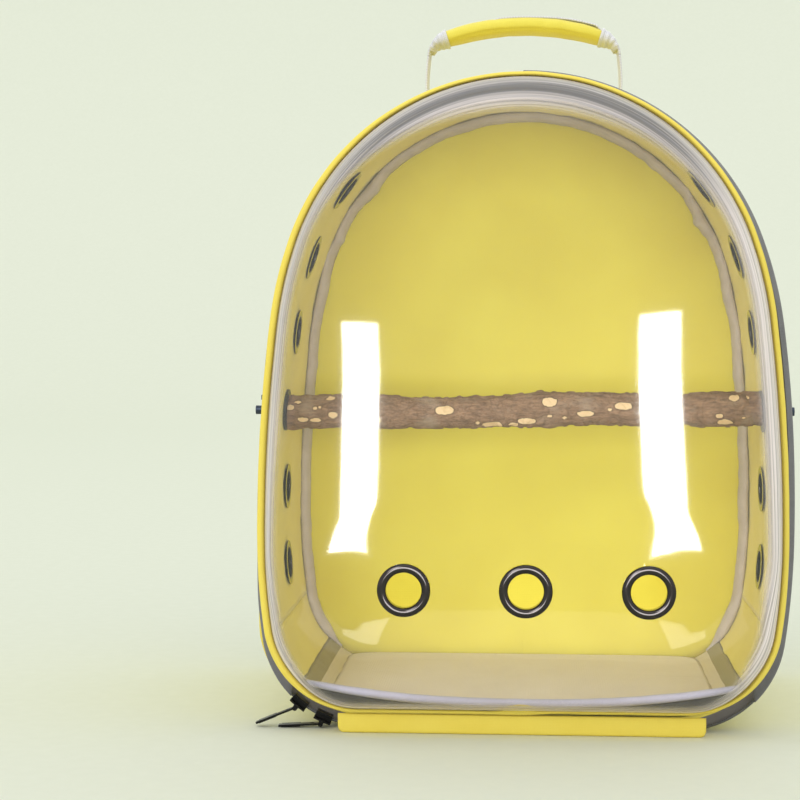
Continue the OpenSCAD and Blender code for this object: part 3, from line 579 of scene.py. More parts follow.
def cut_holes(piece, places, radius):
    """Punches round holes through a wall, each along the +Z of its place."""
    bm = bmesh.new()
    for place in places:
        bmesh.ops.create_cone(
            bm, cap_ends=True, segments=48, radius1=radius * MM, radius2=radius * MM, depth=PUNCH_DEPTH * MM,
            matrix=Matrix.Scale(MM, 4) @ place @ Matrix.Scale(1 / MM, 4),
        )
    punch = new_object("punch", new_mesh("punch", bm, smooth=False))
    punched = piece.modifiers.new("holes", "BOOLEAN")
    punched.object, punched.operation, punched.solver = punch, "DIFFERENCE", "EXACT"
    bpy.context.view_layer.update()
    result = bpy.data.meshes.new_from_object(piece.evaluated_get(bpy.context.evaluated_depsgraph_get()))
    piece.modifiers.remove(punched)
    piece.data = result
    bpy.data.objects.remove(punch)


cut_holes(side_wall, [wall_matrix(side, a) for a in EYELET_ANGLES for side, _ in SIDES], BARREL + HOLE_GAP)
cut_holes(side_wall, [wall_matrix(side, PERCH_ANGLE, PERCH_Y) for side, _ in SIDES], STUD_HOLE)

# The back panel is one padded disc: cloth in front and behind, drawn in at its seam
PANEL_MID = Vector((0.0, 200.0))
# The share of v on each side of its seam where one cloth turns into the other
PANEL_TURN = 0.03


def back_cloth(u, v):
    way = mix(-BODY.half_way, BODY.half_way, u)
    edge, _ = BODY.at(way, -WALL - 0.1)
    front = v <= 0.5
    share = min(1.0, (v if front else 1 - v) / (0.5 - PANEL_TURN))
    turn = ease(abs(v - 0.5) / PANEL_TURN)
    spot = PANEL_MID + (edge - PANEL_MID) * share
    away = (edge - spot).length
    puff = 2.6 * (1 - exp(-away / 16)) - 1.1 * exp(-away / 13) * ripple(way / 11, 0.5 * share, 2.0)
    puff += 1.2 * ripple(spot.x / 85, spot.y / 70, 1.0) * min(1.0, away / 30)
    puff *= ease(abs(BODY.half_way - abs(way)) / 20 + (1 - share) * 8)
    half = WALL / 2 * turn
    y = BACK_Y - WALL / 2 - half - puff if front else BACK_Y - WALL / 2 + half - 0.1
    return (spot.x, y, spot.y)


bm = new_grid(300, 70, back_cloth)
dress_faces(bm, plane="z")
back_wall = finish_mesh("back_panel_cloth", bm, "shell", YELLOW_BACK, ["back_panel"])

# ---- seams ----
def cord_even(way, i):
    return (0.18 * ripple(way / 9, 1.0) - 0.18, 0.15 * ripple(way / 14, 4.0))


def cord_slack(way, i):
    out, back = cord_even(way, i)
    return (out + zip_slack(way) + foot_slack(way), back)


for name, node, y in (
    ("front_piping_cord", "front_piping", FRONT_Y - PIPING / 2 - 0.1),
    ("rear_piping_cord", "rear_piping", BACK_Y + PIPING / 2 + 0.1),
):
    section_piece(
        name, BODY, round_section(PIPING, 12, -PIPING / 2), y, (-BODY.half_way, BODY.half_way), "shell", BINDING,
        [node], fine=3.0, wobble=cord_slack if y < 0 else cord_even,
    )


SEAM_SECTION = [
    (-WALL - 0.3, -0.6), (-WALL - 0.4, -7.2), (-WALL - 2.0, -8.4), (-WALL - 4.4, -7.6), (-WALL - 6.2, -5.2),
    (-WALL - 7.2, -2.4), (-WALL - 6.8, -0.5),
]
SEAM_WAY = BODY.way_at(144)


def seam_slack(way, i):
    """The inner binding lies in loose waves, bunches up round the upper corners, and runs out
    behind the mat."""
    corner = hump((abs(way) - 165) / 55)
    wave = (1.8 + 2.2 * corner) * ripple(way / 30, 7.0) + (0.7 + 1.6 * corner) * ripple(way / 8, 2.0)
    edge = (0.0, 0.3, 0.9, 1.0, 1.0, 0.9, 0.2)[min(i, 6)]
    end = 0.8 * ease((abs(way) - SEAM_WAY + 22) / 22)
    out, back = SEAM_SECTION[min(i, 6)]
    return (mix(wave * edge, -WALL - 0.5 - out, end), mix(-abs(wave) * 0.4 * edge, -0.8 - back, end))


seam = section_piece(
    "inner_seam_binding", BODY, SEAM_SECTION, BACK_Y - WALL - 0.2, (-SEAM_WAY, SEAM_WAY), "shell", SEAM_TAPE,
    ["back_seam_tape"], fine=1.8, wobble=seam_slack,
)


# ---- the zip: two tapes with a coil in each edge ----
def ribbon(name, rows, last, thick, body, material, replaces, slack=0.25):
    """A woven tape along an arch through rows of (outline, outward, y). It's closed round its
    section, so that it has two faces."""
    last_way = BODY.way_at(last)
    widths = [0.0]
    for a, b in zip(rows, rows[1:]):
        pa, pb = a[0].at_angle(20, a[1]), b[0].at_angle(20, b[1])
        widths.append(widths[-1] + dist((pa.x, a[2], pa.y), (pb.x, b[2], pb.y)))

    def on_rows(share, angle, lift):
        want = share * widths[-1]
        k = next(i for i in range(len(rows) - 1) if want <= widths[i + 1] + 1e-9)
        t = (want - widths[k]) / (widths[k + 1] - widths[k])
        pa, pb = (rows[j][0].at_angle(angle, rows[j][1] + lift) for j in (k, k + 1))
        return mix(pa.x, pb.x, t), mix(rows[k][2], rows[k + 1][2], t), mix(pa.y, pb.y, t)

    def place(u, v):
        way = mix(-last_way, last_way, v)
        top = u <= 0.5
        share = 2 * u if top else 2 - 2 * u
        soft = slack * ripple(way / 13, share, 3.0) + zip_slack(way)
        return on_rows(share, BODY.angle_at(way), (thick / 2 if top else -thick / 2) + soft)

    bm = new_grid(20, round(last_way / 1.8), place, (2 * widths[-1], 2 * last_way), tube=True)
    return finish_mesh(name, bm, body, material, replaces)


TAPE_T, COIL_D = 0.9, 1.8
COIL_BODY_Y = FRONT_Y - PIPING - 7.2
COIL_DOOR_Y = COIL_BODY_Y - COIL_D - 0.8
ZIP_MID_Y = (COIL_BODY_Y + COIL_DOOR_Y) / 2
ZIP_LAST, DOOR_ZIP_LAST = 172.0, 134.4
ribbon(
    "zip_tape_on_body",
    [
        (BODY, -PIPING - 0.55, FRONT_Y - 0.2), (BODY, -PIPING - 0.55, FRONT_Y - PIPING + 0.4),
        (ZIP, 0, COIL_BODY_Y + 1.0),
    ],
    ZIP_LAST, TAPE_T, "shell", ZIP_TAPE_WITH_PAINTED_SHADE, ["zip_tape_body"],
)
ribbon(
    "zip_tape_on_door",
    [
        (ZIP, 0, COIL_DOOR_Y - 1.0), (ZIP, 0, ZIP_MID_Y - 3.9),
        (RING, -1.9, RING_BACK + 0.4), (RING, -1.9, RING_BACK - 2.2),
    ],
    DOOR_ZIP_LAST, TAPE_T, "door", ZIP_TAPE_WITH_PAINTED_SHADE, ["zip_tape_door"], slack=0.12,
)
for name, node, y, last, body in (
    ("zip_coil_on_body", "zip_coil_body", COIL_BODY_Y, ZIP_LAST, "shell"),
    ("zip_coil_on_door", "zip_coil_door", COIL_DOOR_Y, DOOR_ZIP_LAST, "door"),
):
    way = ZIP.way_at(last)
    section_piece(
        name, ZIP, round_section(COIL_D, 8), y, (-way, way), body, COIL, [node], fine=1.5,
        wobble=lambda way, i: (zip_slack(way), 0.0),
    )

# ---- the door: a bound ring and a clear dome ----
RING_SECTION = [
    (-RING_W, -0.4), (-RING_W - 0.1, -2.6), (-RING_W - 0.1, -4.6), (-RING_W, -6.6), (-RING_W + 0.7, -7.7),
    (-RING_W / 2, -8.1), (-0.9, -7.8), (-0.1, -6.8), (0.05, -4.6), (0.0, -2.4), (-0.2, -0.5),
    (-1.0, 0.0), (-RING_W + 1.0, 0.0),
]
# The way from the crown over which the ring is drawn thin
CROWN_WAY = 120


def ring_thin(way):
    """How far the ring's inner edge stands back: its binding is drawn thin over the crown and
    hides behind the hinge fold at the foot."""
    return 0.8 + 1.0 * hump(way / CROWN_WAY) + 2.6 * ease((abs(way) - RING.half_way + 160) / 50)


def ring_slack(way, i):
    if RING_SECTION[i % len(RING_SECTION)][0] < -RING_W / 2 - 0.1:
        thin = ring_thin(way)
    else:
        thin = -0.2 - 0.9 * hump(way / CROWN_WAY) - 0.7 * ease(way / 200)
    return (0.2 * ripple(way / 16, i / 9) + thin, 0.25 * ripple(way / 24, 6.0))


section_piece(
    "door_ring_binding", RING, RING_SECTION, RING_BACK, (-RING.half_way, RING.half_way), "door", BINDING, ["door_ring"],
    fine=3.0, wobble=ring_slack,
)

DOME_ROOT = -RING_W - 0.7
DOME_MID = Vector((0.0, 190.0))
WINDOW_XS = [3.0 + k * 73.7 for k in (-1, 0, 1)]
WINDOW_Z = 95.5
WINDOW_FACE = FLANGE_Y - FILM - DOME_RISE


def window_places(y):
    """Where the window's eyelets are, with +Z forward."""
    return [Matrix.Translation((x, y, WINDOW_Z)) @ Matrix.Rotation(radians(90), 4, "X") for x in WINDOW_XS]


def edge_width(z):
    """How wide the window's rounded edge is at a height: it widens towards the foot."""
    return mix(DOME_EDGE, DOME_TOE, ease((115 - z) / 75))


def dome_point(way, w, f, inner):
    """A point of the window: w is the way over its rounded edge and f the way over its face."""
    root = DOME_ROOT + ring_thin(way)
    out = root - (FILM if inner else 0.0)
    rise = DOME_RISE - (FILM if inner else 0.0)
    rim, _ = RING.at(way, out)
    edge = edge_width(rim.y) + out - DOME_ROOT
    reach = (rim - DOME_MID).length
    turned_in = (1 - cos(radians(90 * w))) * edge / reach
    spot = rim + (DOME_MID - rim) * mix(turned_in, 1.0, f)
    y = rise * sin(radians(90 * w)) + DOME_CROWN * (1 - (1 - f) ** 2)
    return (spot.x, FLANGE_Y - FILM - y, spot.y)


def dome_sheet(u, v):
    """From the middle of the outer face over the edge to the flange, and back inside: face and
    edge take 0.22 of v each, outside and inside, and the flange what is left between."""
    way = mix(-RING.half_way, RING.half_way, u)
    if v < 0.22:
        return dome_point(way, 1.0, (1 - v / 0.22), False)
    if v < 0.44:
        return dome_point(way, 1 - (v - 0.22) / 0.22, 0.0, False)
    if v > 0.78:
        return dome_point(way, 1.0, (v - 0.78) / 0.22, True)
    if v > 0.56:
        return dome_point(way, (v - 0.56) / 0.22, 0.0, True)
    y = FLANGE_Y - FILM if v < 0.5 else FLANGE_Y
    out = -1.8 if 0.46 < v < 0.54 else DOME_ROOT + ring_thin(way) - (FILM if v > 0.5 else 0.0)
    spot, _ = RING.at(way, out)
    return (spot.x, y, spot.y)


bm = new_grid(360, 100, dome_sheet, (2 * RING.half_way, 400.0))
bm.verts.layers.float.new("streaks_and_painted_reflection")
bm.verts.layers.float.new("painted_grey_reflection")
streaks_and_painted_reflection, painted_grey_share = (bm.verts.layers.float[name] for name in ("streaks_and_painted_reflection", "painted_grey_reflection"))
# The film is drawn furthest beside the ring, where its streaks are. A painted reflection lies over the same band, which
# is wider at the crown, with painted grey over the crown itself.
for vert in bm.verts:
    rise = FLANGE_Y - FILM - vert.co.y
    turn = asin(min(max(rise / DOME_RISE, 0.0), 1.0))
    inwards = (1 - cos(turn)) * edge_width(vert.co.z)
    inwards += 190 * (1 - sqrt(1 - min(max((rise - DOME_RISE) / DOME_CROWN, 0.0), 1.0)))
    crown = ease((vert.co.z - 310) / 90)
    full = mix(3.5, 14.0, crown) + 3.5 * ease(vert.co.x / 120) * (1 - crown)
    full *= ease((vert.co.z - 18) / 40)
    vert[streaks_and_painted_reflection] = 1 - 0.999 * ease((inwards - full) / mix(6.0, 4.0, crown))
    vert[painted_grey_share] = crown * hump((inwards - 8.5) / 4.0)
dome = finish_mesh("clear_dome", bm, "door", FILM_CLEAR, ["dome_window"])
cut_holes(dome, window_places(WINDOW_FACE), BARREL + HOLE_GAP)


# ---- eyelets and washers ----
def eyelet_profile(grip):
    ro, ri = EYELET_OUT / 2, EYELET_BORE / 2
    middle, half = (ro + ri) / 2, (ro - ri) / 2
    roll = [(middle + half * cos(a), 0.5 + 1.9 * sin(a)) for a in (pi * k / 14 for k in range(15))]
    return [(ri, -grip), (BARREL, -grip), (BARREL, 0.0), (ro - 0.4, 0.0)] + roll + [(ri, -0.5), (ri, 1.0 - grip)]


def eyelet_set(name, places, grip, body, node):
    bm = bmesh.new()
    for place in places:
        add_turned(bm, eyelet_profile(grip), place)
    return finish_mesh(name, bm, body, GUNMETAL, [node], weld=0)


SIDE_SEAT = 0.2 + (EYELET_OUT / 2) ** 2 / 2 / (BODY.arcs[0][1] - WALL)
eyelets = []
for side, word in SIDES:
    eyelets.append(eyelet_set(
        f"rolled_eyelets_{word}", [wall_matrix(side, a, lift=0.1) for a in EYELET_ANGLES],
        WALL + SIDE_SEAT + EYELET_PAST, "shell", f"eyelets_{word}",
    ))
window_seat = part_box("window_eyelets")[0].y / MM + EYELET_H
eyelets.append(eyelet_set(
    "rolled_eyelets_window", window_places(window_seat), WINDOW_FACE + FILM + EYELET_PAST - window_seat,
    "door", "window_eyelets",
))

# ---- the branch ----
SHAVED_SPOTS = [
    (-156, -12, 3.0, 2.2), (-151, -32, 2.8, 1.0), (-147, 30, 3.8, 1.7), (-139, 33, 4.0, 1.6), (-139, -9, 1.6, 1.2),
    (-136, -13, 1.2, 1.0), (-129, -53, 3.3, 2.0), (-127, 14, 3.4, 2.0), (-101, -16, 3.0, 2.0), (-102, 2, 2.6, 2.2),
    (-96, 26, 2.1, 1.7), (-52, -4, 6.4, 3.0), (-30, 44, 1.6, 1.4), (-20, 57, 7.0, 3.0), (-6, 56, 3.4, 2.4),
    (3, 39, 6.5, 2.8), (18, -32, 5.2, 2.9), (18, 18, 1.8, 1.4), (28, 24, 1.6, 1.3), (42, 10, 5.8, 2.7),
    (58, -9, 1.6, 1.3), (67, -22, 6.2, 2.9), (130, 12, 2.6, 1.7), (134, 39, 5.3, 3.0), (140, -52, 3.6, 2.8),
    (146, 19, 1.3, 1.1), (149, -55, 1.3, 1.6),
]
perch_low, perch_high = node_box("perch")
PERCH_MID = (perch_low.x + perch_high.x) / 2
PERCH_HALF = (perch_high.x - perch_low.x) / 2 - 1.0
TILT = radians(90 - PERCH_ANGLE)


def branch(u, v):
    t = 2 * v - 1
    a = tau * u
    wave = 1 + 0.06 * sin(radians(t * 430 + 40)) + 0.04 * sin(radians(t * 1010))
    r = 11.0 * wave * (1 + 0.035 * sin(3 * a + radians(260 * t)))
    lump = noise.fractal(Vector((t * 16, cos(a) * 1.4, sin(a) * 1.4)), 0.9, 2.0, 4)
    flake = max(0.0, ripple(t * 22, cos(a) * 2.2, sin(a) * 2.2) - 0.12)
    torn = ease((ripple(t * 31, cos(a) * 2.6, 4 + sin(a) * 2.6) - 0.16) / 0.08)
    r += 0.5 * lump + 1.2 * flake + 0.75 * torn - 0.3
    sag = 1.2 * (1 - t * t) * sin(radians(t * 300 + 30)) + 1.6 * t
    bend = 1.5 * (1 - t * t) * sin(radians(t * 220))
    x = t * (PERCH_HALF - r * sin(a) * tan(TILT))
    return (PERCH_MID + x, PERCH_Y + bend + r * cos(a), PERCH_Z + sag + r * sin(a))


bm = new_grid(96, 700, branch, (70.0, 317.0))
shaved = bm.verts.layers.float.new("shaved")
for vert in bm.verts:
    across = degrees(atan2(-(vert.co.z - PERCH_Z), -(vert.co.y - PERCH_Y)))
    for x, low, half_x, half_z in SHAVED_SPOTS:
        ragged = 1 + 0.3 * ripple(vert.co.x / 1.7, across / 12, x)
        gap = (((vert.co.x - x) / half_x) ** 2 + ((across - low) / degrees(half_z / 11)) ** 2) * ragged
        if gap < 2.2:
            vert[shaved] = max(vert[shaved], 1 - ease((gap - 0.7) / 0.6))
bmesh.ops.remove_doubles(bm, verts=bm.verts, dist=0.01)
bmesh.ops.holes_fill(bm, edges=[e for e in bm.edges if e.is_boundary])
perch = finish_mesh("branch_perch", bm, "shell", BARK, ["perch"])

# ---- the floor: a mat with bound edges, and the roll along its front ----
mat_low, mat_high = node_box("floor_mat")
MAT_MID_Y = (mat_low.y + mat_high.y) / 2
MAT_DEPTH = (mat_high.y - mat_low.y) / 2
MAT_T, MAT_CROWN = 9.0, 1.5
# The power that makes its round plan almost square
MAT_SQUARE = 0.16


def floor_half(z, gap):
    """Half the width between the lower corners at a height, less a gap."""
    return BODY.foot + sqrt(max(0.0, (CORNER_R - WALL - gap) ** 2 - (CORNER_R - z) ** 2))


def mat_point(u, v):
    """The mat from the middle of its top, over its rim, to the middle of its underside."""
    a = tau * u
    top = v < 0.6
    share = min(1.0, v / 0.5) if top else min(1.0, (1 - v) / 0.3)
    if top:
        z = MAT_T + MAT_CROWN * (1 - share**3) if v < 0.5 else mix(MAT_T, 4.0, (v - 0.5) / 0.1)
        z -= 0.8 * max(0.0, share - 0.93) / 0.07 if v < 0.5 else 0.8
    else:
        z = mix(4.0, 0.3, min(1.0, (v - 0.6) / 0.1))
    half = floor_half(mat_low.z + max(z, 0.4), 0.9)
    x = half * signed_power(cos(a), MAT_SQUARE)
    y = MAT_DEPTH * signed_power(sin(a), MAT_SQUARE)
    soft = 0.5 * ripple(x * share / 40, y * share / 30, 8.0) * (1 - share**4) if top else 0.0
    return (x * share, MAT_MID_Y + y * share, mat_low.z + z + soft)


bm = new_grid(240, 60, mat_point)
# Its rim and its back edge are bound
# Painted shade: the binding's olive tint stands for the shade at the mat's rim and back edge
dress_faces(bm, lambda at: int(at.z < mat_low.z + 7.4 or at.y > MAT_MID_Y + MAT_DEPTH - 5), "y")
mat = finish_mesh("canvas_mat", bm, "shell", [MAT_CLOTH, MAT_BINDING_WITH_PAINTED_SHADE], ["floor_mat"])

# A strip of binding lies up the wall on each side of the mat
for side, word in SIDES:
    def strip_wave(y, side=side):
        return 0.8 * ripple(y / 30, 3.0, side)

    def side_strip(u, v, side=side):
        up = out_and_back(u)
        z = mix(11.0, 24.5, up)
        lift = 0.4 if u <= 0.5 else mix(2.6, 1.5, up)
        y = mix(MAT_MID_Y - MAT_DEPTH + 1, MAT_MID_Y + MAT_DEPTH - 4, v)
        lift += 0.35 * ripple(y / 12, z / 9, side)
        return (side * (floor_half(z, 0.0) - lift), y, z + strip_wave(y))

    bm = new_grid(28, 90, side_strip, (26.0, 2 * MAT_DEPTH), tube=True)
    # Its upper part takes the binding whose olive tint is painted shade
    dress_faces(bm, lambda at: int(at.z - strip_wave(at.y) >= 17.5))
    finish_mesh(f"mat_side_binding_{word}", bm, "shell", [MAT_CLOTH, MAT_BINDING_WITH_PAINTED_SHADE])

# The lip's front edge is a soft roll that dips in its middle; a dark sheet hangs under it as a painted shadow
LIP_Y, LIP_MID_Z, LIP_END_Z, LIP_HALF = -90.5, 13.6, 25.0, 138.0


def lip_line(t):
    x = LIP_HALF * t
    return Vector((x, LIP_Y + 1.5 * t * t, LIP_MID_Z + (LIP_END_Z - LIP_MID_Z) * abs(t) ** 2.4))


def lip_roll(u, v):
    t = 2 * v - 1
    a = tau * u
    r = 2.9 * (1 - 0.35 * abs(t) ** 6) + 0.25 * ripple(t * 9, cos(a), sin(a))
    at = lip_line(t)
    return (at.x, at.y + r * cos(a), at.z + r * sin(a))


# Painted shadow: a dark cloth sheet that fills the shaded gap under the roll
def lip_shadow_sheet(u, v):
    t = 2 * v - 1
    at = lip_line(t)
    down = out_and_back(u)
    y = at.y + (1.3 if u <= 0.5 else 0.2) + 2.4 * down
    low = WALL + 0.3 if abs(at.x) < BODY.foot else CORNER_R - sqrt(
        max(0.0, (CORNER_R - WALL - 0.3) ** 2 - (abs(at.x) - BODY.foot) ** 2)
    )
    return (at.x, y, mix(at.z - 1.0, min(low, at.z - 1.2), down))


bm = new_grid(20, 200, lip_roll, (18.0, 2 * LIP_HALF), tube=True)
lay_grid(bm, 12, 160, lip_shadow_sheet, (24.0, 2 * LIP_HALF), slot=1, tube=True)
lip = finish_mesh("mat_front_lip", bm, "shell", [LIP_CLOTH, PAINTED_SHADOW_CLOTH], ["front_lip"])

# ---- the hinge: a folded strip of the body's cloth along the door's foot ----
strip_low, strip_high = node_box("hinge_strip")
STRIP_FRONT_Y = strip_low.y


def strip_point(u, v):
    """The fold's front face, its lower roll, and its flap back to the body's foot."""
    half = strip_high.x
    x = mix(-half, half, v)
    round_end = min(1.0, (half - abs(x)) / 4.0)
    z_low = 0.25 + 3.2 * (1 - sqrt(max(0.0, 1 - (1 - round_end) ** 2))) if round_end < 1 else 0.25
    z_top = HINGE_H - 0.8
    soft = 0.22 * ripple(x / 26, 1.0, 2.0)
    if u <= 0.4:
        s = u / 0.4
        return (x, STRIP_FRONT_Y - 0.15 - 0.5 * sin(pi * s) + soft, mix(z_top, z_low, s))
    if u <= 0.6:
        s = (u - 0.4) / 0.2
        return (x, STRIP_FRONT_Y + mix(0.3, 1.4, s) + soft, z_low - 0.1 * sin(pi * s))
    s = (u - 0.6) / 0.4
    return (x, STRIP_FRONT_Y + 1.5 + 0.15 * sin(pi * s) + soft, mix(z_low + 0.1, z_top, s))


bm = new_grid(30, 240, strip_point, (28.0, 2 * strip_high.x), tube=True)


def under_flap(u, v):
    s = out_and_back(u)
    x = mix(-BODY.foot, BODY.foot, v)
    z = 0.25 if u <= 0.5 else 1.35 + 0.15 * ripple(x / 15, s * 2)
    return (x, mix(STRIP_FRONT_Y + 1.6, FRONT_Y - PIPING - 0.3, s), z)


lay_grid(bm, 12, 120, under_flap, (40.0, 2 * BODY.foot), tube=True)
finish_mesh("hinge_fold", bm, "shell", BINDING, ["hinge_strip"])

# ---- the handle ----
HANDLE_TOP, HANDLE_R, BEND_R, HANDLE_HALF = 462.0, 171.0, 12.0, 64.0
GRIP_L, GRIP_T, GRIP_W = 107.0, 11.0, 32.0
WEB_W, WEB_T = 25.0, 1.8
HANDLE_C = Vector((0.0, HANDLE_TOP - GRIP_T / 2 - HANDLE_R))
HANDLE_A = degrees(asin((HANDLE_HALF - BEND_R) / (HANDLE_R - BEND_R)))
BEND_C = HANDLE_C + (HANDLE_R - BEND_R) * dir_at(HANDLE_A)


def handle_at(way, out=0.0):
    """A point of the handle's line, by its way from the middle: the arch, then a bend, then down."""
    arch_way = HANDLE_R * radians(HANDLE_A)
    bend_way = BEND_R * radians(90 - HANDLE_A)
    w = abs(way)
    if w <= arch_way:
        spot = HANDLE_C + (HANDLE_R + out) * dir_at(degrees(w / HANDLE_R))
    elif w <= arch_way + bend_way:
        spot = BEND_C + (BEND_R + out) * dir_at(HANDLE_A + degrees((w - arch_way) / BEND_R))
    else:
        spot = BEND_C + Vector((BEND_R + out, arch_way + bend_way - w))
    return Vector((copysign(spot.x, way), spot.y))


def grip_sleeve(u, v):
    """A padded sleeve, full in its middle and drawn in at its ends, with its seam underneath."""
    t = 2 * v - 1
    a = tau * u
    full = 1 - 0.13 * abs(t) ** 5
    out = GRIP_T / 2 * full * signed_power(sin(a), 0.8)
    y = GRIP_W / 2 * full * signed_power(cos(a), 0.75)
    crease = hump((degrees(a) - 214) / 9) + hump((degrees(a) - 326) / 9)
    out += 0.75 * crease * (1 - abs(t) ** 4)
    out += 0.3 * ripple(t * 6, cos(a) * 1.5, sin(a) * 1.5)
    spot = handle_at(t * GRIP_L / 2, out)
    return (spot.x, y, spot.y)


bm = new_grid(72, 130, grip_sleeve, (74.0, GRIP_L), tube=True)
grip = finish_mesh("handle_sleeve", bm, "handle", GRIP_CLOTH, ["handle_grip"])


def flat_strap(name, centre, length, body, material, replaces, steps=60):
    """Webbing along a line: centre(s) gives its middle, its side direction and its normal at a
    length s. Its edges are rounded, as woven selvedges are."""
    round_it = 28
    section = [
        (WEB_W / 2 * signed_power(cos(a), 0.25), WEB_T / 2 * signed_power(sin(a), 0.6))
        for a in (tau * k / round_it for k in range(round_it))
    ]

    def place(u, v):
        side, lift = section[int(round(u * round_it)) % round_it]
        middle, across, normal = centre(v * length)
        return middle + across * side + normal * lift

    bm = new_grid(round_it, steps, place, (2 * WEB_W, length), tube=True)
    return finish_mesh(name, bm, body, material, replaces)


ARCH_WAY = HANDLE_R * radians(HANDLE_A) + BEND_R * radians(90 - HANDLE_A)


def handle_web(s):
    way = s - ARCH_WAY
    here, ahead = handle_at(way), handle_at(way + 0.2)
    run = (ahead - here).normalized()
    # It comes out over the sleeve, flat on it at the left and lifted a little at the right
    over = ease((way + 34) / 20) * ease((58 - way) / 12)
    lift = over * (GRIP_T / 2 - 0.8 + 0.9 * ease((way - 5) / 30))
    normal = Vector((-run.y, 0, run.x))
    return Vector((here.x, 0, here.y)) + normal * lift, Vector((0, 1, 0)), normal


flat_strap("handle_webbing_band", handle_web, 2 * ARCH_WAY, "handle", WEBBING, ["handle_webbing"], steps=160)

# The webbing is folded over each end of the sleeve as a full, ribbed collar
for side, word in SIDES:
    def collar(u, v, side=side):
        a = tau * u
        way = side * mix(GRIP_L / 2 - 1.5, ARCH_WAY - 4.0, v)
        rib = 1 + 0.04 * sin(v * 24)
        reach = mix(GRIP_T / 2 + 0.3, 1.3 if sin(a) > 0 else 3.4, ease(v * 1.1)) * rib
        out = reach * signed_power(sin(a), 0.8)
        y = rib * mix(WEB_W / 2 + 2.8, WEB_W / 2 + 0.6, v) * signed_power(cos(a), 0.7)
        spot = handle_at(way, out)
        return (spot.x, y, spot.y)

    bm = new_grid(48, 44, collar, (66.0, 24.0), tube=True)
    finish_mesh(f"handle_collar_{word}", bm, "handle", WEBBING)

    low, high = node_box(f"handle_leg_{word}")

    def leg(s, side=side, low=low, high=high):
        t = s / (high.z - low.z)
        bow = 1.2 * sin(pi * t)
        return Vector(((low.x + high.x) / 2 + side * bow, 0, high.z - s)), Vector((0, 1, 0)), Vector((1, 0, 0))

    leg_web = flat_strap(
        f"handle_leg_webbing_{word}", leg, high.z - low.z, "shell", WEBBING, [f"handle_leg_{word}"], steps=30
    )
    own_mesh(leg_web)

# ---- the back: a quilted pad and two shoulder straps ----
pad_low, pad_high = node_box("back_pad")
PAD_INSET, PAD_LOW, PAD_CORNER_R = 26.0, 62.0, 40.0
PAD = Outline(BODY_HALF - PAD_INSET, BODY_TOP - PAD_INSET, PAD_LOW, PAD_CORNER_R)
PAD_MID = Vector((0.0, (BODY_TOP + PAD_LOW) / 2 - PAD_INSET))
PAD_T = pad_high.y - pad_low.y
CHANNELS = (118.0, 176.0, 234.0, 292.0)
PAD_BINDING = 4.0


def pad_height(x, z, share):
    """The pad's thickness: crowned over all, pulled down in a rim seam and in its sewn channels."""
    full = sqrt(max(0.0, 1 - share**7))
    rim = 1 - 0.42 * hump((share - 0.9) / 0.022)
    depth = 1.0
    for row in CHANNELS:
        bow = row + 10 * (1 - (x / 130) ** 2)
        depth *= 1 - 0.5 * hump((z - bow) / 4.2) * (1 - share**6)
    middle = 1 - 0.55 * hump(x / 9) * (1 - share**4)
    return PAD_T * full * rim * depth * middle


def pad_cloth(u, v):
    way = mix(-PAD.half_way, PAD.half_way, u)
    edge, _ = PAD.at(way, 0.0)
    top = v <= 0.85
    share = min(1.0, v / 0.85) if top else (1 - v) / 0.15
    spot = PAD_MID + (edge - PAD_MID) * share
    lift = pad_height(spot.x, spot.y, share) if top else 0.0
    lift += 0.25 * ripple(spot.x / 14, spot.y / 14, 5.0) * (1 - share**3) if top else 0.0
    return (spot.x, pad_low.y + 0.1 + max(lift, 0.0), spot.y)


bm = new_grid(360, 150, pad_cloth)
dress_faces(bm, lambda at: int(at.y < pad_low.y + PAD_BINDING), "z")
back_pad = finish_mesh("quilted_back_pad", bm, "shell", [BACK_MESH, BINDING_GREY], ["back_pad"])

STRAP_TOP_X, STRAP_LOW_X, STRAP_TOP_Z, STRAP_LOW_Z = 42.0, 84.0, 352.0, 150.0
STRAP_W, STRAP_T, STRAP_BOW, STRAP_BINDING = 58.0, 10.0, 20.0, 4.0
STRAP_Y = pad_high.y + STRAP_T / 2 + 0.3


def strap_middle(t):
    swell = STRAP_BOW * sin(pi * min(t * 1.05, 1.0)) ** 2
    return Vector((mix(STRAP_TOP_X, STRAP_LOW_X, ease(t)), STRAP_Y + swell, mix(STRAP_TOP_Z, STRAP_LOW_Z, t)))


def strap_half(t):
    return STRAP_W / 2 * (0.72 + 0.28 * ease(t * 3)) * (1 - 0.35 * ease((t - 0.82) / 0.18))


def strap_slot(at):
    """Mesh on the wearer's side, cloth on the other, and binding along both edges."""
    t = min(max((STRAP_TOP_Z - at.z) / (STRAP_TOP_Z - STRAP_LOW_Z), 0), 1)
    if strap_half(t) - abs(abs(at.x) - strap_middle(t).x) < STRAP_BINDING:
        return 2
    return 0 if at.y < strap_middle(t).y else 1


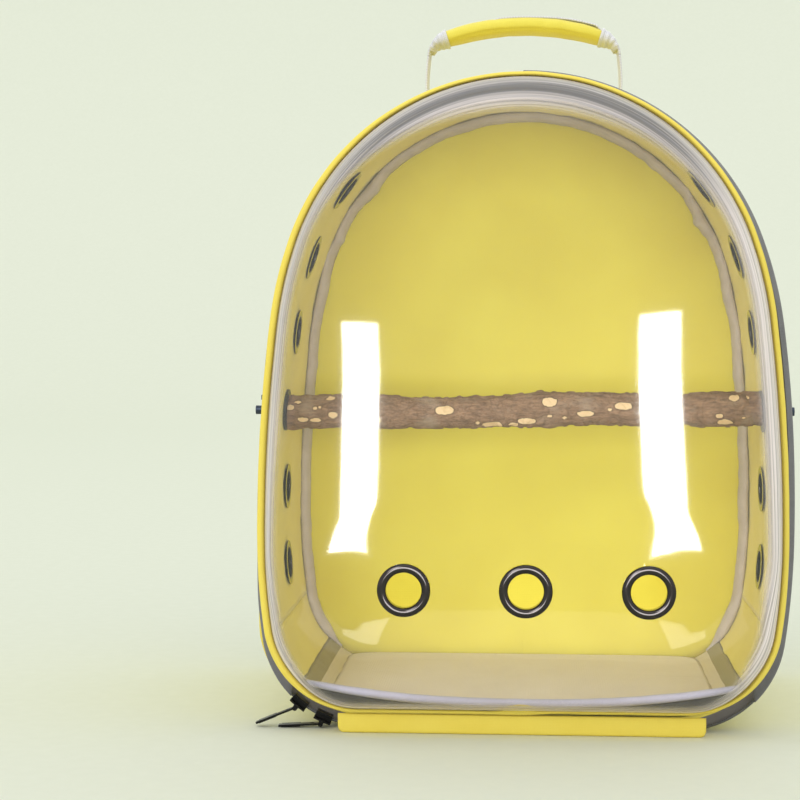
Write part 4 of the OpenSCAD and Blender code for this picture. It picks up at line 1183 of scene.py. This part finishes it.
lock_low = node_box("ladder_lock_right")[0]
tab_low, tab_high = node_box("anchor_tab_right")
ANCHOR_X, ANCHOR_Z = (tab_low.x + tab_high.x) / 2, (tab_low.z + tab_high.z) / 2
for side, word in SIDES:
    def strap_cloth(u, v, side=side):
        """A shaped foam pad: crowned, with a groove beside its bound edge."""
        a = tau * u
        mid = strap_middle(v)
        c, d = cos(a), sin(a)
        wide = strap_half(v) * signed_power(c, 0.55)
        plump = STRAP_T / 2 * (0.42 + 0.58 * ease(min(v, 1 - v) * 9))
        groove = 1 - 0.3 * hump((abs(wide) - strap_half(v) + 6) / 1.8)
        lift = plump * signed_power(d, 0.6) * groove
        lift += 0.2 * ripple(wide / 9, v * 16, side * 3.0)
        return (side * (mid.x + wide), mid.y + lift, mid.z)

    bm = new_grid(72, 150, strap_cloth, (2 * STRAP_W, 215.0), tube=True)
    dress_faces(bm, strap_slot)
    pad = finish_mesh(
        f"shoulder_strap_{word}", bm, "shell", [BACK_MESH, STRAP_CLOTH, BINDING_GREY], [f"strap_pad_{word}"]
    )

    def lower_web(s, side=side):
        top, low = lock_low.z - 0.3, ANCHOR_Z
        t = s / (top - low)

        def line(t):
            t = min(max(t, 0.0), 1.0)
            x = mix(STRAP_LOW_X, ANCHOR_X, ease(t))
            y = mix(strap_middle(1).y, tab_high.y + 0.3 + WEB_T / 2, t**2.6)
            return Vector((side * x, y, mix(top, low, t)))

        run = (line(t + 0.01) - line(t - 0.01)).normalized()
        normal = run.cross(Vector((1, 0, 0))).normalized()
        return line(t), Vector((1, 0, 0)), normal

    flat_strap(
        f"strap_webbing_{word}", lower_web, lock_low.z - 0.3 - ANCHOR_Z, "shell", WEBBING_DARK,
        [f"strap_webbing_{word}"],
    )

    def tab_place(u, v, side=side):
        """A sewn tab: two thicknesses of webbing, spread where it goes into the seam."""
        share = out_and_back(u)
        z = mix(tab_high.z, tab_low.z, v)
        half = mix(14.2, 17.8, v)
        x = mix(-half, half, share)
        soft = 0.25 * sin(pi * share) + 0.1 * ripple(x / 5, z / 5)
        y = tab_high.y + soft if u <= 0.5 else tab_low.y + 0.1
        return (side * (ANCHOR_X + x), y, z)

    bm = new_grid(24, 24, tab_place, (64.0, 26.0), tube=True)
    finish_mesh(f"anchor_tab_cloth_{word}", bm, "shell", STRAP_CLOTH, [f"anchor_tab_{word}"])

yoke_low, yoke_high = node_box("strap_yoke")


def yoke_cloth(u, v):
    """The sewn yoke over the tops of both straps, a padded bar with soft corners."""
    a = tau * u
    t = 2 * v - 1
    c, d = cos(a), sin(a)
    end = (1 - abs(t) ** 9) ** (1 / 3) if abs(t) < 1 else 0.0
    deep = (yoke_high.y - yoke_low.y) / 2
    tall = (yoke_high.z - yoke_low.z) / 2
    y = (yoke_low.y + yoke_high.y) / 2 + deep * signed_power(c, 0.55) * (0.3 + 0.7 * end)
    z = (yoke_low.z + yoke_high.z) / 2 + tall * signed_power(d, 0.55) * (0.5 + 0.5 * end)
    y += 0.25 * ripple(t * 9, c * 2, d * 2)
    return (t * (yoke_high.x - 0.6), y, z)


bm = new_grid(48, 150, yoke_cloth, (70.0, 140.0), tube=True)
yoke = finish_mesh("strap_yoke_cloth", bm, "shell", STRAP_CLOTH, ["strap_yoke"])

# ---- hard parts that keep their CAD shape ----
WORN_EDGE = 0.25
for finish, nodes in (
    (GUNMETAL, ("eyelet_washers_left", "eyelet_washers_right", "window_eyelet_washers")),
    (DARK_STEEL, ("perch_stud_left", "perch_stud_right", "perch_washers_inner", "perch_washers_outer")),
    (DARK_STEEL, ("wing_nut_left", "wing_nut_right")),
    (BLACK_METAL, ("slider_upper", "slider_lower", "pull_upper", "pull_lower")),
    (BLACK_PLASTIC, ("ladder_lock_left", "ladder_lock_right")),
):
    for node in nodes:
        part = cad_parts[node]
        part.data.materials.clear()
        part.data.materials.append(finish)
        part.modifiers.new("weld", "WELD").merge_threshold = 0.01 * MM
        edges = part.modifiers.new("worn edges", "BEVEL")
        edges.width, edges.segments, edges.angle_limit = WORN_EDGE * MM, 2, radians(35)

# ---- stage, lights and camera ----
camera_data = bpy.data.cameras.new("camera")
camera_data.sensor_width = 36.0
camera_data.lens = 85.76
camera = new_object("camera", camera_data)
camera.location = Vector((6.8, -1302.0, 263.0)) * MM
camera.rotation_euler = (radians(90 - 2.614), 0.0, radians(3.988))
bpy.context.scene.camera = camera


def sweep_paper():
    """A pale seamless sweep, in metres: a floor that curves up into a wall far behind the carrier."""
    half, wall, bend, high, steps = 9.0, 3.2, 2.2, 9.0, 16
    profile = [(-half, 0.0), (wall, 0.0)]
    for a in (pi / 2 * k / steps for k in range(1, steps + 1)):
        profile.append((wall + bend * sin(a), bend * (1 - cos(a))))
    profile.append((wall + bend, high))
    bm = bmesh.new()
    verts = [bm.verts.new((-half, y, z)) for y, z in profile]
    edges = [bm.edges.new(pair) for pair in zip(verts, verts[1:])]
    side = bmesh.ops.extrude_edge_only(bm, edges=edges)["geom"]
    bmesh.ops.translate(bm, vec=(2 * half, 0, 0), verts=[g for g in side if isinstance(g, bmesh.types.BMVert)])
    bmesh.ops.recalc_face_normals(bm, faces=bm.faces)
    paper = new_object("paper_sweep", new_mesh("paper_sweep", bm))
    paper.data.materials.append(PAPER)
    return paper


paper = sweep_paper()


def softbox(name, at, toward, size, watts, receivers):
    """A rectangular light that falls on a set of pieces alone. The camera sees no light itself."""
    data = bpy.data.lights.new(name, "AREA")
    data.shape, data.size, data.size_y = "RECTANGLE", size[0], size[1]
    data.energy, data.spread = watts, pi
    lamp = new_object(name, data)
    lamp.location = at
    lamp.rotation_euler = (Vector(toward) - Vector(at)).to_track_quat("-Z", "Y").to_euler()
    lamp.visible_camera = False
    lamp.light_linking.receiver_collection = receivers
    return lamp


def lit_pieces(name, pieces, state="INCLUDE"):
    """A set of pieces that a light falls on, or, with EXCLUDE, that it leaves out."""
    group = bpy.data.collections.new(name)
    for piece in pieces:
        group.objects.link(piece)
    for member in group.collection_objects:
        member.light_linking.link_state = state
    return group


# The paper and the window take the even light of the room alone, so the paper stays one colour
# and the window mirrors nothing but its two strip lights
others = lit_pieces("all but the paper and the window", [paper, dome], "EXCLUDE")
for name, at, size, watts in (
    ("front_softbox", (-0.9, -2.3, 1.3), (0.9, 0.9), 21),
    ("top_light", (0.3, -0.5, 2.4), (2.2, 2.2), 9),
    ("back_fill", (0.0, 2.6, 1.6), (2.4, 1.6), 16),
):
    softbox(name, at, (0, 0, 0.2), size, watts, others)

inside = lit_pieces("inside of the carrier", [side_wall, floor_wall, back_wall, perch, mat, lip, seam] + eyelets)
softbox("inner_fill", (0.0, -1.9, 0.2), (0, 0, 0.22), (1.1, 0.9), 38, inside)

window_only = lit_pieces("the window", [dome])
for name, at, size, lean in (
    ("strip_left", (-0.2035, -0.75, 0.138), (0.045, 0.254), 0.0),
    ("strip_right", (0.1695, -0.75, 0.146), (0.052, 0.262), 2.5),
):
    strip = softbox(name, at, (at[0], 0, at[2]), size, 1.0, window_only)
    strip.rotation_euler.rotate_axis("Z", radians(lean))
# The pale table before the window shows in its foot, with two brighter patches
for name, at, size, watts in (
    ("table_glow", (0.0, -0.33, 0.006), (0.5, 0.2), 0.16),
    ("glow_left", (-0.131, -0.395, 0.007), (0.047, 0.07), 0.022),
    ("glow_right", (0.135, -0.395, 0.007), (0.05, 0.09), 0.025),
):
    softbox(name, at, (at[0], at[1], 1.0), size, watts, window_only)

world = bpy.data.worlds.new("studio")
bpy.context.scene.world = world
world.use_nodes = True
room = world.node_tree.nodes["Background"].inputs
room["Color"].default_value, room["Strength"].default_value = linear("#F4F5F0"), 1.13
bpy.context.scene.view_settings.view_transform = "Standard"
